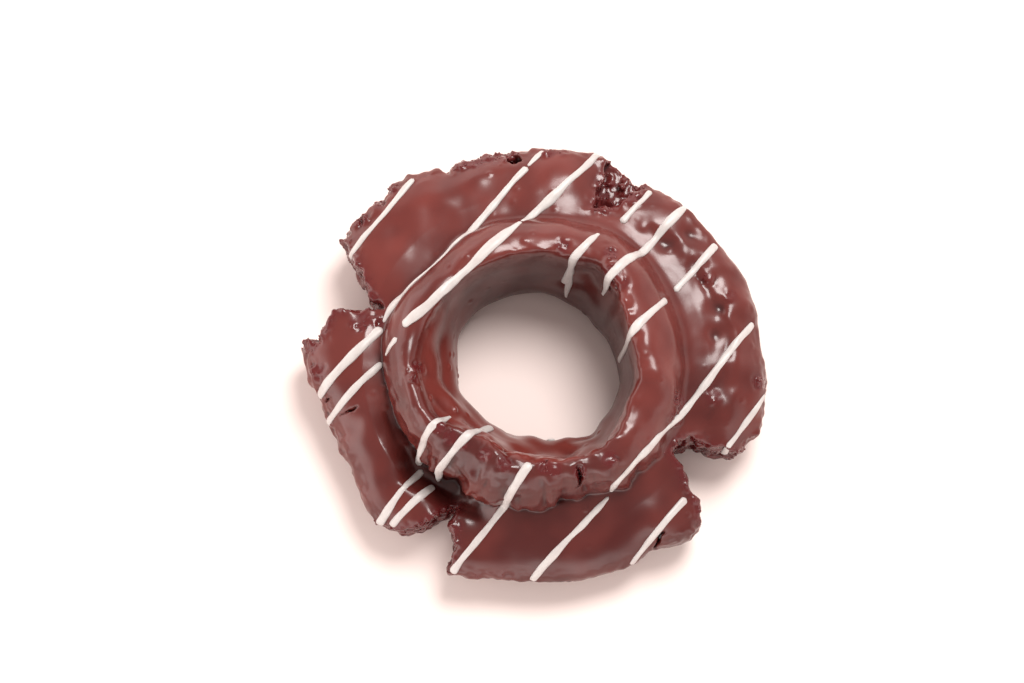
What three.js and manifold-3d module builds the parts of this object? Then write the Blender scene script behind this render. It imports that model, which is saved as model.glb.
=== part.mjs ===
// An old-fashioned doughnut: a raised collar round the hole, and a thick flange that burst
// into four petals as it fried. Millimetres, +Z up, resting on its flat underside, with the
// origin under the middle of its footprint. +X runs along its widest span.
import * as THREE from 'three';
import { mergeVertices } from 'three/addons/utils/BufferGeometryUtils.js';
import Module from 'manifold-3d';

// Heights above the surface it rests on.
const COLLAR_TOP = 27;
const LIP_HEIGHT = 24.4;
const WAIST_HEIGHT = 7;
const FOOT_HEIGHT = 16.6;
const PETAL_TOP = 18;
const RIM_TOP = 14.6;
const RIM_HEIGHT = 10.5;

// Radii of the section, measured from the middle of the collar.
const HOLE_WAIST = 15.9;
const HOLE_MOUTH = 17.6;
const LIP_RADIUS = 20.2;
const CREST_RADIUS = 21.4;
const COLLAR_RADIUS = 29;
const RIM_RADIUS = 44;
const BASE_RADIUS = 38.5;

// The hole sits a little off the collar's middle, and the lip leans with it.
const HOLE_SHIFT = { x: 0.3, y: 0.9 };

// How far the petals reach: [bearing in degrees, reach in mm], anticlockwise from +X.
const REACH = [
  [5, 44.6], [25, 45], [38, 44.2], [50, 44.2], [60, 43.1], [72, 45], [95, 44.2], [112, 44.2],
  [122, 46.4], [146, 46.6], [173, 46.6], [181, 45.4], [190, 42.6], [206, 41.6], [223, 43.4],
  [248, 44], [264, 42], [290, 42.7], [304, 43.6], [313, 45.4], [343, 46.9], [355, 46],
];

// How high the rim's upper edge stands: [bearing in degrees, height in mm].
const RIM_TOPS = [
  [0, 13.4], [20, 15], [45, 15.6], [62, 14.8], [85, 14.4], [125, 13.6], [150, 13.2], [175, 11.5],
  [205, 9.3], [235, 8.8], [262, 8.8], [290, 8.8], [318, 11.4], [345, 12.4],
];

// How high the petals stand beside the collar: [bearing in degrees, height in mm].
const PETAL_TOPS = [
  [0, 18], [45, 18.4], [110, 18], [150, 17.6], [180, 17], [215, 15.3], [238, 14.4], [258, 14.8],
  [300, 15.2], [335, 17],
];

// The hollow between collar and petals at the lower left: [bearing in degrees, depth in mm].
const HOLLOW = [[30, 0], [192, 0], [208, 1.8], [221, 4.4], [236, 4.8], [247, 2.2], [257, 0]];
const HOLLOW_RADIUS = 30;
const HOLLOW_WIDTH = 3.3;

// The hole's narrowest radius: [bearing in degrees, radius in mm].
const WAISTS = [
  [0, 16.3], [90, 16.2], [135, 15.9], [180, 15.9], [225, 15.4], [250, 14.6], [270, 14.1],
  [292, 14.5], [320, 15.6],
];

// Gentle swells along the collar and the petals: [lobes per turn, height in mm, phase].
const COLLAR_SWELLS = [[3, 0.35, 0.4], [7, 0.25, 2.1], [11, 0.15, 4.0]];
const PETAL_SWELLS = [[2, 0.5, 1.2], [5, 0.35, 0.3], [9, 0.2, 2.6]];

// The ragged splits between petals, as plan outlines that run from the collar past the rim.
const SPLITS = [
  {
    floor: -5,
    outline: [
      [-30.2, 11.6], [-32.3, 13.6], [-34.4, 18.6], [-36.2, 21.6], [-38.8, 26], [-44, 31],
      [-56, 26], [-56, 6], [-46.4, 5.2], [-42.4, 5.8], [-41.2, 8.4], [-40, 11], [-34, 11.4],
    ],
  },
  {
    floor: -5,
    outline: [
      [-15, -26.8], [-18.6, -28.4], [-22, -31], [-25.5, -32.2], [-31, -30.4], [-40, -40],
      [-28, -54], [-17.2, -50], [-17.1, -40], [-15.8, -35], [-16.6, -31.4],
    ],
  },
  {
    floor: -5,
    outline: [
      [26.2, -17.4], [27.8, -15.2], [30.4, -14.6], [33.2, -15.6], [36.4, -16.6], [39.6, -16.9],
      [44.2, -14.4], [54, -16],
      [50, -36], [32.6, -31.4], [31.6, -28.2], [32, -26.8], [29.4, -23.8], [28.2, -20.4],
    ],
  },
  {
    floor: 9,
    outline: [
      [11.6, 31.4], [12.6, 36], [14, 40.4], [17, 48], [28, 42], [23.4, 36], [18.6, 33.6],
      [15, 30.6],
    ],
  },
];

const SEGMENTS_ROUND = 120;
const GLAZE = { color: 0x6d3531, roughness: 0.28, metalness: 0 };

const wasm = await Module();
wasm.setup();

/** Turns a closed three.js geometry into a manifold solid. */
function solidFrom(geometry) {
  const bare = geometry.clone();
  bare.deleteAttribute('normal');
  bare.deleteAttribute('uv');
  const merged = mergeVertices(bare, 1e-4);
  const mesh = new wasm.Mesh({
    numProp: 3,
    vertProperties: new Float32Array(merged.attributes.position.array),
    triVerts: new Uint32Array(merged.index.array),
  });
  return new wasm.Manifold(mesh);
}

/** Turns a manifold solid back into a three.js geometry. */
function geometryFrom(solid) {
  const mesh = solid.getMesh();
  const geometry = new THREE.BufferGeometry();
  geometry.setAttribute('position', new THREE.BufferAttribute(mesh.vertProperties, 3));
  geometry.setIndex(new THREE.BufferAttribute(mesh.triVerts, 1));
  geometry.computeVertexNormals();
  return geometry;
}

/** The section as a closed loop of [radius, height], from the hole's waist round and back. */
function sectionLoop() {
  const corners = [
    [HOLE_WAIST, WAIST_HEIGHT],
    [HOLE_MOUTH - 0.4, 1.2],
    [HOLE_MOUTH + 0.9, 0],
    [BASE_RADIUS, 0],
    [BASE_RADIUS + 2.6, 1.6],
    [RIM_RADIUS - 0.9, 5.6],
    [RIM_RADIUS, RIM_HEIGHT],
    [RIM_RADIUS - 0.5, RIM_TOP - 1.6],
    [RIM_RADIUS - 1.8, RIM_TOP],
    [RIM_RADIUS - 5.4, RIM_TOP + 2],
    [COLLAR_RADIUS + 5, PETAL_TOP],
    [COLLAR_RADIUS + 2, PETAL_TOP - 0.5],
    [COLLAR_RADIUS + 0.6, FOOT_HEIGHT],
    [COLLAR_RADIUS - 0.3, FOOT_HEIGHT + 1.8],
    [COLLAR_RADIUS - 1, FOOT_HEIGHT + 4.2],
    [COLLAR_RADIUS - 2.6, COLLAR_TOP - 3.6],
    [CREST_RADIUS + 3, COLLAR_TOP - 1.8],
    [CREST_RADIUS + 1, COLLAR_TOP - 0.6],
    [CREST_RADIUS - 0.5, COLLAR_TOP - 0.2],
    [LIP_RADIUS, COLLAR_TOP - 1.4],
    [LIP_RADIUS - 0.9, LIP_HEIGHT - 0.6],
    [LIP_RADIUS - 2.4, LIP_HEIGHT - 3.4],
    [HOLE_WAIST + 0.8, WAIST_HEIGHT + 9],
  ];
  corners.push(corners[0]);
  return corners.map(([radius, height]) => new THREE.Vector2(radius, height));
}

/** Value at a bearing in degrees, eased from each listed bearing to the next. */
function valueAt(list, bearing) {
  const last = list.length - 1;
  const next = list.findIndex(([listed]) => listed > bearing);
  const [endBearing, end] = next < 0 ? [list[0][0] + 360, list[0][1]] : list[next];
  const before = next < 0 ? last : next - 1;
  const [startBearing, start] = before < 0 ? [list[last][0] - 360, list[last][1]] : list[before];
  const share = (bearing - startBearing) / (endBearing - startBearing);
  return THREE.MathUtils.lerp(start, end, THREE.MathUtils.smoothstep(share, 0, 1));
}

/** Sum of the swells at an angle in radians. */
function swellAt(swells, angle) {
  return swells.reduce((sum, [lobes, height, phase]) => sum + height * Math.sin(lobes * angle + phase), 0);
}

/** Share by which the petals' height is kept at a bearing, `outward` from 0 at the foot to 1. */
function petalShare(bearing, radius, outward) {
  const settled = THREE.MathUtils.smoothstep(radius, COLLAR_RADIUS - 0.4, COLLAR_RADIUS + 2);
  const atFoot = settled * (valueAt(PETAL_TOPS, bearing) / PETAL_TOP - 1);
  const atRim = valueAt(RIM_TOPS, bearing) / RIM_TOP - 1;
  return 1 + THREE.MathUtils.lerp(atFoot, atRim, outward * outward);
}

/** Depth of the hollow beside the collar at a bearing and radius. */
function hollowAt(bearing, radius) {
  const beyond = Math.abs(radius - HOLLOW_RADIUS) / HOLLOW_WIDTH;
  return radius > COLLAR_RADIUS ? valueAt(HOLLOW, bearing) * Math.exp(-beyond * beyond) : 0;
}

/** Moves the even ring's vertices to the doughnut's real reach, rim, swells and hole. */
function shapeRing(geometry) {
  const place = geometry.attributes.position;
  for (let i = 0; i < place.count; i += 1) {
    const x = place.getX(i);
    const y = place.getY(i);
    const z = place.getZ(i);
    const angle = Math.atan2(y, x);
    const bearing = (THREE.MathUtils.radToDeg(angle) + 360) % 360;
    const radius = Math.hypot(x, y);
    const outward = Math.max(0, (radius - COLLAR_RADIUS) / (RIM_RADIUS - COLLAR_RADIUS));
    const inward = 1 - THREE.MathUtils.smoothstep(radius, HOLE_WAIST, CREST_RADIUS);
    const narrowed = 1 - THREE.MathUtils.smoothstep(radius, HOLE_WAIST, LIP_RADIUS);
    const stretched = radius + outward * (valueAt(REACH, bearing) - RIM_RADIUS)
      + narrowed * (valueAt(WAISTS, bearing) - HOLE_WAIST);
    const scale = stretched / radius;
    const swells = radius > COLLAR_RADIUS ? PETAL_SWELLS : COLLAR_SWELLS;
    const lift = z > WAIST_HEIGHT ? swellAt(swells, angle) * (z / COLLAR_TOP) : 0;
    place.setX(i, x * scale + inward * HOLE_SHIFT.x);
    place.setY(i, y * scale + inward * HOLE_SHIFT.y);
    const sunk = z > WAIST_HEIGHT ? hollowAt(bearing, radius) : 0;
    place.setZ(i, (z + lift) * petalShare(bearing, radius, Math.min(outward, 1)) - sunk);
  }
  return geometry;
}

/** The whole ring before it splits. */
function ringSolid() {
  const ring = new THREE.LatheGeometry(sectionLoop(), SEGMENTS_ROUND);
  ring.rotateX(Math.PI / 2);
  return solidFrom(shapeRing(ring));
}

/** One ragged wedge, as tall as it takes to clear the petals above its floor. */
function splitSolid({ floor, outline }) {
  const shape = new THREE.Shape(outline.map(([x, y]) => new THREE.Vector2(x, y)));
  const wedge = new THREE.ExtrudeGeometry(shape, { depth: COLLAR_TOP + 5, bevelEnabled: false });
  wedge.translate(0, 0, floor);
  return solidFrom(wedge);
}

/** The finished doughnut, with its footprint centred on the origin. */
function doughnut() {
  const body = SPLITS.reduce((whole, split) => whole.subtract(splitSolid(split)), ringSolid());
  const geometry = geometryFrom(body);
  geometry.computeBoundingBox();
  const centre = geometry.boundingBox.getCenter(new THREE.Vector3());
  geometry.translate(-centre.x, -centre.y, -geometry.boundingBox.min.z);
  const mesh = new THREE.Mesh(geometry, new THREE.MeshStandardMaterial(GLAZE));
  mesh.name = 'doughnut';
  return mesh;
}

const group = new THREE.Group();
group.add(doughnut());

export default group;
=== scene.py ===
"""Looks of a chocolate-glazed old-fashioned doughnut with white icing lines.

The doughnut is modelled as a smooth field of distances in millimetres, measured from the middle
of its collar, and skinned by a surface net. The icing lines are laid on that skin.
"""

import logging
import math
from collections.abc import Callable
from concurrent.futures import ThreadPoolExecutor
from dataclasses import dataclass
from enum import Enum

import bmesh
import bpy
import numpy as np
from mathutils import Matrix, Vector
from mathutils.bvhtree import BVHTree
from mathutils.kdtree import KDTree


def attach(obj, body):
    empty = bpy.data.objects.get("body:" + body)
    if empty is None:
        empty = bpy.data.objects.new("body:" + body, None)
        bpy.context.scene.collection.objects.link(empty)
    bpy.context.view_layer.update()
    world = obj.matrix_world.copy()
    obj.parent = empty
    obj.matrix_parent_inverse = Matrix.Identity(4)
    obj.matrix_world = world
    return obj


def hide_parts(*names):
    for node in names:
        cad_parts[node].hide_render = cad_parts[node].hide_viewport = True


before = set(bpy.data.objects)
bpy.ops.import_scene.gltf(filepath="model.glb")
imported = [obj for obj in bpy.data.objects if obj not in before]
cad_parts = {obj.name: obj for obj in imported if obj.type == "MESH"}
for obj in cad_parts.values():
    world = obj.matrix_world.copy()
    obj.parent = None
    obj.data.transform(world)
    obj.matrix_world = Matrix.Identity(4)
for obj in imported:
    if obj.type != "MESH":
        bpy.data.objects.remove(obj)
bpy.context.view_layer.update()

LOG = logging.getLogger("doughnut")
MM = 0.001
BODY = "root"
NODE = "doughnut"
# The collar's middle, measured from the middle of the footprint.
COLLAR_CENTRE_MM = np.array([0.25, -1.11, 0.0])
# A distance in millimetres that stands for nothing being near.
FAR_MM = 99.0

Field = Callable[[np.ndarray], np.ndarray]
Knots = tuple[tuple[float, float], ...]
Outline = tuple[tuple[float, float], ...]
Colour = tuple[float, float, float]


# ---------------------------------------------------------------- numbers and curves


def ramp(low: float, high: float, value: np.ndarray) -> np.ndarray:
    """Ease from 0 at low to 1 at high.

    Args:
        low: Where the rise starts.
        high: Where it ends.
        value: The values to ease.

    Returns:
        The eased shares.
    """
    share = np.clip((value - low) / (high - low), 0.0, 1.0)
    return share * share * (3.0 - 2.0 * share)


def soft_min(a: np.ndarray, b: np.ndarray, radius: float | np.ndarray) -> np.ndarray:
    """Join two fields with a fillet of about the given radius, with no edge to its curvature.

    Args:
        a: One field's values.
        b: The other's values.
        radius: The fillet's radius, or one for each value.

    Returns:
        The joined values.
    """
    reach = 1.5 * radius
    overlap = np.clip(1.0 - np.abs(a - b) / reach, 0.0, 1.0)
    return np.minimum(a, b) - overlap ** 3 * reach / 6.0


def soft_max(a: np.ndarray, b: np.ndarray, radius: float | np.ndarray) -> np.ndarray:
    """Keep what is in both fields, with a rounded edge of about the given radius."""
    return -soft_min(-a, -b, radius)


def bearing_of(points: np.ndarray) -> np.ndarray:
    """Bearing of each point in degrees, anticlockwise from +X, from 0 to 360."""
    return np.degrees(np.arctan2(points[:, 1], points[:, 0])) % 360.0


def around(knots: Knots, bearing: np.ndarray) -> np.ndarray:
    """Read a value that eases from knot to knot all the way round.

    Args:
        knots: (bearing in degrees, value) pairs in order of bearing.
        bearing: Bearings to read, from 0 to 360.

    Returns:
        The eased values.
    """
    first, last = knots[0], knots[-1]
    table = np.array([(last[0] - 360.0, last[1]), *knots, (first[0] + 360.0, first[1])])
    after = np.clip(np.searchsorted(table[:, 0], bearing, side="right"), 1, len(table) - 1)
    start, end = table[after - 1], table[after]
    share = (bearing - start[:, 0]) / (end[:, 0] - start[:, 0])
    share = share * share * (3.0 - 2.0 * share)
    return start[:, 1] + (end[:, 1] - start[:, 1]) * share


def near_bearing(bearing: np.ndarray, middle: float, half_width: float) -> np.ndarray:
    """Mask of 1 at a bearing, easing to 0 at half_width degrees to either side.

    Args:
        bearing: Bearings to read.
        middle: The bearing where the mask is 1.
        half_width: Degrees to either side where it reaches 0.

    Returns:
        The mask.
    """
    gap = np.abs((bearing - middle + 180.0) % 360.0 - 180.0)
    return 1.0 - ramp(0.45 * half_width, half_width, gap)


def rounded_loop(corners: Outline, steps: int) -> np.ndarray:
    """Turn a closed run of corners into a smooth loop through them.

    Args:
        corners: Corners in order, not repeated at the end.
        steps: Points made for each corner.

    Returns:
        The loop's points, one row each.
    """
    base = np.array(corners, float)
    before, after, beyond = np.roll(base, 1, 0), np.roll(base, -1, 0), np.roll(base, -2, 0)
    pieces = []
    for step in range(steps):
        t = step / steps
        pieces.append(0.5 * (2 * base + (after - before) * t
                             + (2 * before - 5 * base + 4 * after - beyond) * t ** 2
                             + (3 * base - before - 3 * after + beyond) * t ** 3))
    return np.stack(pieces, 1).reshape(-1, 2)


def loop_distance(points: np.ndarray, loop: np.ndarray) -> np.ndarray:
    """Signed distance from plane points to a closed loop, negative inside it.

    Args:
        points: Plane points, one row each.
        loop: The loop's corners in order.

    Returns:
        One distance for each point.
    """
    best = np.full(len(points), 1e9)
    inside = np.zeros(len(points), bool)
    x, y = points[:, 0], points[:, 1]
    for (x0, y0), (x1, y1) in zip(loop, np.roll(loop, -1, 0)):
        dx, dy = x1 - x0, y1 - y0
        share = np.clip(((x - x0) * dx + (y - y0) * dy) / (dx * dx + dy * dy), 0.0, 1.0)
        best = np.minimum(best, (x - x0 - share * dx) ** 2 + (y - y0 - share * dy) ** 2)
        if y0 != y1:
            inside ^= ((y0 > y) != (y1 > y)) & (x < (y - y0) * dx / dy + x0)
    distance = np.sqrt(best)
    return np.where(inside, -distance, distance)


def path_place(points: np.ndarray, path: np.ndarray) -> tuple[np.ndarray, np.ndarray]:
    """Find where plane points lie beside an open path.

    Args:
        points: Plane points, one row each.
        path: The path's corners in order.

    Returns:
        Distance to the path, and the share of its length passed at the nearest spot.
    """
    best = np.full(len(points), 1e9)
    passed = np.zeros(len(points))
    lengths = np.linalg.norm(np.diff(path, axis=0), axis=1)
    before = 0.0
    for start, end, length in zip(path[:-1], path[1:], lengths):
        along = end - start
        share = np.clip(((points - start) @ along) / (along @ along), 0.0, 1.0)
        gap = ((points - start - share[:, None] * along) ** 2).sum(1)
        passed = np.where(gap < best, (before + share * length) / lengths.sum(), passed)
        best = np.minimum(best, gap)
        before += length
    return np.sqrt(best), passed


class FlatTable:
    """Values worked out once on a plane grid and read between its points."""

    def __init__(self, low: tuple[float, float], high: tuple[float, float], spacing: float,
                 source: Callable[[np.ndarray], np.ndarray]) -> None:
        """Fill the table.

        Args:
            low: The grid's first corner.
            high: The grid's last corner.
            spacing: Distance between the grid's points.
            source: Gives the value at each of many plane points.
        """
        self.low, self.spacing = np.array(low), spacing
        counts = [int((high[i] - low[i]) / spacing) + 1 for i in range(2)]
        axes = [low[i] + spacing * np.arange(counts[i]) for i in range(2)]
        places = np.stack(np.meshgrid(*axes, indexing="ij"), -1).reshape(-1, 2)
        self.values = source(places).reshape(counts)

    def read(self, x: np.ndarray, y: np.ndarray) -> np.ndarray:
        """Read the table at plane points, or at its edge beyond it.

        Args:
            x: The points' first coordinates.
            y: Their second coordinates.

        Returns:
            The values, evened between the grid's points.
        """
        rows, columns = self.values.shape
        across = np.clip((x - self.low[0]) / self.spacing, 0.0, rows - 1.001)
        along = np.clip((y - self.low[1]) / self.spacing, 0.0, columns - 1.001)
        i, j = across.astype(int), along.astype(int)
        u, v = across - i, along - j
        near = self.values[i, j] * (1.0 - v) + self.values[i, j + 1] * v
        far = self.values[i + 1, j] * (1.0 - v) + self.values[i + 1, j + 1] * v
        return near * (1.0 - u) + far * u


@dataclass(frozen=True)
class LatticeNoise:
    """Seeded noise on a cubic lattice, the same on every run."""

    seed: int

    def _hash(self, cell: np.ndarray) -> np.ndarray:
        """Scramble whole cell numbers into 32 bits each.

        Args:
            cell: Whole cell numbers, one row each.

        Returns:
            One scrambled number for each cell.
        """
        unsigned = cell.astype(np.int64).astype(np.uint32)
        mixed = unsigned[:, 0] * np.uint32(0x8DA6B343)
        mixed ^= unsigned[:, 1] * np.uint32(0xD8163841)
        mixed ^= unsigned[:, 2] * np.uint32(0xCB1AB31F)
        mixed ^= np.uint32((self.seed * 0x9E3779B1) & 0xFFFFFFFF)
        for shift, factor in ((15, 0x2C1B3C6D), (12, 0x297A2D39), (15, 0x9E3779B1)):
            mixed ^= mixed >> np.uint32(shift)
            mixed = mixed * np.uint32(factor)
        return mixed ^ (mixed >> np.uint32(16))

    def _vector(self, cell: np.ndarray) -> np.ndarray:
        """Three numbers from -1 to 1 for each cell.

        Args:
            cell: Whole cell numbers, one row each.

        Returns:
            The numbers, one row for each cell.
        """
        bits = self._hash(cell)
        parts = [(bits >> np.uint32(shift)) & np.uint32(1023) for shift in (0, 10, 20)]
        return np.stack(parts, 1).astype(np.float32) / 511.5 - 1.0

    def wave(self, points: np.ndarray, size: float) -> np.ndarray:
        """Smooth swells from about -1 to 1, with hills about `size` apart.

        Args:
            points: Points in millimetres, one row each.
            size: Distance between hills.

        Returns:
            One value for each point.
        """
        scaled = points / size
        cell = np.floor(scaled)
        offset = scaled - cell
        fade = offset ** 3 * (offset * (offset * 6.0 - 15.0) + 10.0)
        total = np.zeros(len(points))
        for corner in np.ndindex(2, 2, 2):
            step = np.array(corner)
            weight = np.where(step == 1, fade, 1.0 - fade).prod(1)
            total += weight * (self._vector(cell + step) * (offset - step)).sum(1)
        return 1.5 * total

    def grains(self, points: np.ndarray, size: float) -> np.ndarray:
        """Distance to the nearest scattered grain's middle, as a share of their spacing.

        Args:
            points: Points in millimetres, one row each.
            size: Distance between grains.

        Returns:
            One value for each point.
        """
        scaled = points / size
        cell = np.floor(scaled)
        best = np.full(len(points), 9.0)
        for corner in np.ndindex(3, 3, 3):
            step = np.array(corner) - 1
            middle = cell + step + 0.5 + 0.42 * self._vector(cell + step)
            best = np.minimum(best, ((scaled - middle) ** 2).sum(1))
        return np.sqrt(best)


@dataclass(frozen=True)
class Ripple:
    """A layer of noise: its height, how far apart its hills are, and a shift that sets it apart."""

    height: float
    size: float
    shift: float = 0.0

    def read(self, noise: LatticeNoise, points: np.ndarray) -> np.ndarray:
        """Height at each point."""
        return self.height * noise.wave(points + self.shift, self.size)


Ripples = tuple[Ripple, ...]


def rippled(ripples: Ripples, noise: LatticeNoise, points: np.ndarray) -> np.ndarray:
    """Add up several ripples at each point."""
    return sum(ripple.read(noise, points) for ripple in ripples)


# ---------------------------------------------------------------- the doughnut's form


@dataclass(frozen=True)
class Place:
    """Points in millimetres with their distance and bearing from the collar's middle."""

    points: np.ndarray
    radius: np.ndarray
    bearing: np.ndarray

    @classmethod
    def of(cls, points: np.ndarray) -> "Place":
        """Work out the distances and bearings of some points."""
        return cls(points, np.hypot(points[:, 0], points[:, 1]), bearing_of(points))

    def pick(self, chosen: np.ndarray) -> "Place":
        """The places that a mask chooses."""
        return Place(self.points[chosen], self.radius[chosen], self.bearing[chosen])


@dataclass(frozen=True)
class Collar:
    """The raised ring round the hole. Sizes in millimetres."""

    hole_waist: float = 15.9
    lip_radius: float = 20.2
    crest_radius: float = 23.6
    outer_radius: float = 29.0
    hole_shift: tuple[float, float] = (0.3, 0.9)
    # The hole is a little oval, long from upper left to lower right.
    oval: float = 1.1
    oval_bearing: float = 138.0
    # Where the hole's narrowest part stands, all the way round.
    waist: Knots = ((0, 16.3), (45, 16.1), (90, 16.2), (135, 15.9), (180, 15.9), (225, 15.4),
                    (250, 14.6), (270, 14.1), (292, 14.5), (320, 15.6))
    # Where the inner lip stands, all the way round.
    lip: Knots = ((15, 18.4), (30, 19.2), (40, 20.6), (57, 21.4), (78, 20.0), (110, 19.4),
                  (150, 20.4), (188, 22.4), (208, 22.4), (235, 20.4), (275, 21.2), (306, 22.0),
                  (336, 19.8))
    # Where the foot meets the petals.
    foot: Knots = ((20, 29.3), (60, 30.2), (85, 28.9), (120, 29.6), (138, 28.4), (166, 30.4),
                   (205, 29.5), (231, 28.7), (262, 29.2), (284, 27.9), (300, 29.0), (328, 30.2))
    swells: tuple[tuple[int, float, float], ...] = ((3, 0.35, 0.4), (7, 0.3, 2.1), (11, 0.2, 4.0))
    # How ragged the foot's edge is where it hangs over the petals.
    overhang: Knots = ((0, 0.0), (160, 0.0), (205, 0.4), (228, 1.0), (305, 1.0), (335, 0.2))
    drips: Ripples = (Ripple(1.5, 4.6), Ripple(0.9, 1.9, 50.0))
    noise: LatticeNoise = LatticeNoise(41)
    # How sharp the lip is, from a soft shoulder at 0 to a crisp edge at 1.
    crispness: Knots = ((20, 1.0), (140, 0.9), (165, 0.2), (205, 0.1), (240, 0.9), (300, 1.0))
    outside: Outline = (
        (24.9, 25.4), (26.6, 23.7), (27.8, 21.3), (28.5, 19.0), (28.8, 17.2), (28.2, 15.0),
        (27.8, 12.0), (28.4, 7.0), (28.4, 2.0), (26.0, -0.6), (18.6, -0.4), (16.6, 2.4),
        (15.9, 7.0))
    soft_lip: Outline = (
        (16.6, 12.0), (17.8, 17.0), (19.3, 21.2), (20.9, 24.3), (22.1, 25.8), (23.4, 26.2))
    crisp_lip: Outline = (
        (16.7, 10.4), (18.2, 14.0), (19.3, 17.6), (19.8, 21.2), (19.9, 24.0), (20.1, 25.6),
        (20.6, 26.4), (21.6, 26.6), (23.2, 26.3))

    def __post_init__(self) -> None:
        """Work out the two sections' distances once."""
        for name, lip in (("soft", self.soft_lip), ("crisp", self.crisp_lip)):
            loop = rounded_loop(self.outside + lip, 8)
            table = FlatTable((6.0, -6.0), (44.0, 34.0), 0.2,
                              lambda at, loop=loop: loop_distance(at, loop))
            object.__setattr__(self, name, table)

    def evened(self, place: Place) -> np.ndarray:
        """Distance from the middle, stretched so that lip and foot stand at even radii.

        Args:
            place: The places to read.

        Returns:
            The stretched distances.
        """
        angle = np.radians(place.bearing)
        inward = 1.0 - ramp(self.hole_waist, self.crest_radius, place.radius)
        radius = np.hypot(place.points[:, 0] - inward * self.hole_shift[0],
                          place.points[:, 1] - inward * self.hole_shift[1])
        radius -= inward * self.oval * np.cos(2.0 * (angle - math.radians(self.oval_bearing)))
        lip = around(self.lip, place.bearing)
        span = self.outer_radius
        run = np.stack([span * np.cos(angle), span * np.sin(angle), 0.4 * place.points[:, 2]], 1)
        drips = around(self.overhang, place.bearing) * rippled(self.drips, self.noise, run)
        foot = around(self.foot, place.bearing) + drips
        waist = around(self.waist, place.bearing)
        inner_share = (radius - waist) / (lip - waist)
        outer_share = (radius - lip) / (foot - lip)
        return np.where(radius < lip,
                        self.hole_waist + inner_share * (self.lip_radius - self.hole_waist),
                        self.lip_radius + outer_share * (self.outer_radius - self.lip_radius))

    def field(self, place: Place) -> np.ndarray:
        """Distance to the collar's skin, negative inside.

        Args:
            place: The places to read.

        Returns:
            One distance for each place.
        """
        angle = np.radians(place.bearing)
        lift = sum(height * np.sin(lobes * angle + phase) for lobes, height, phase in self.swells)
        tall = place.points[:, 2]
        evened, height = self.evened(place), tall - lift * ramp(8.0, 24.0, tall)
        soft, crisp = self.soft.read(evened, height), self.crisp.read(evened, height)
        return soft + (crisp - soft) * around(self.crispness, place.bearing)


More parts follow.
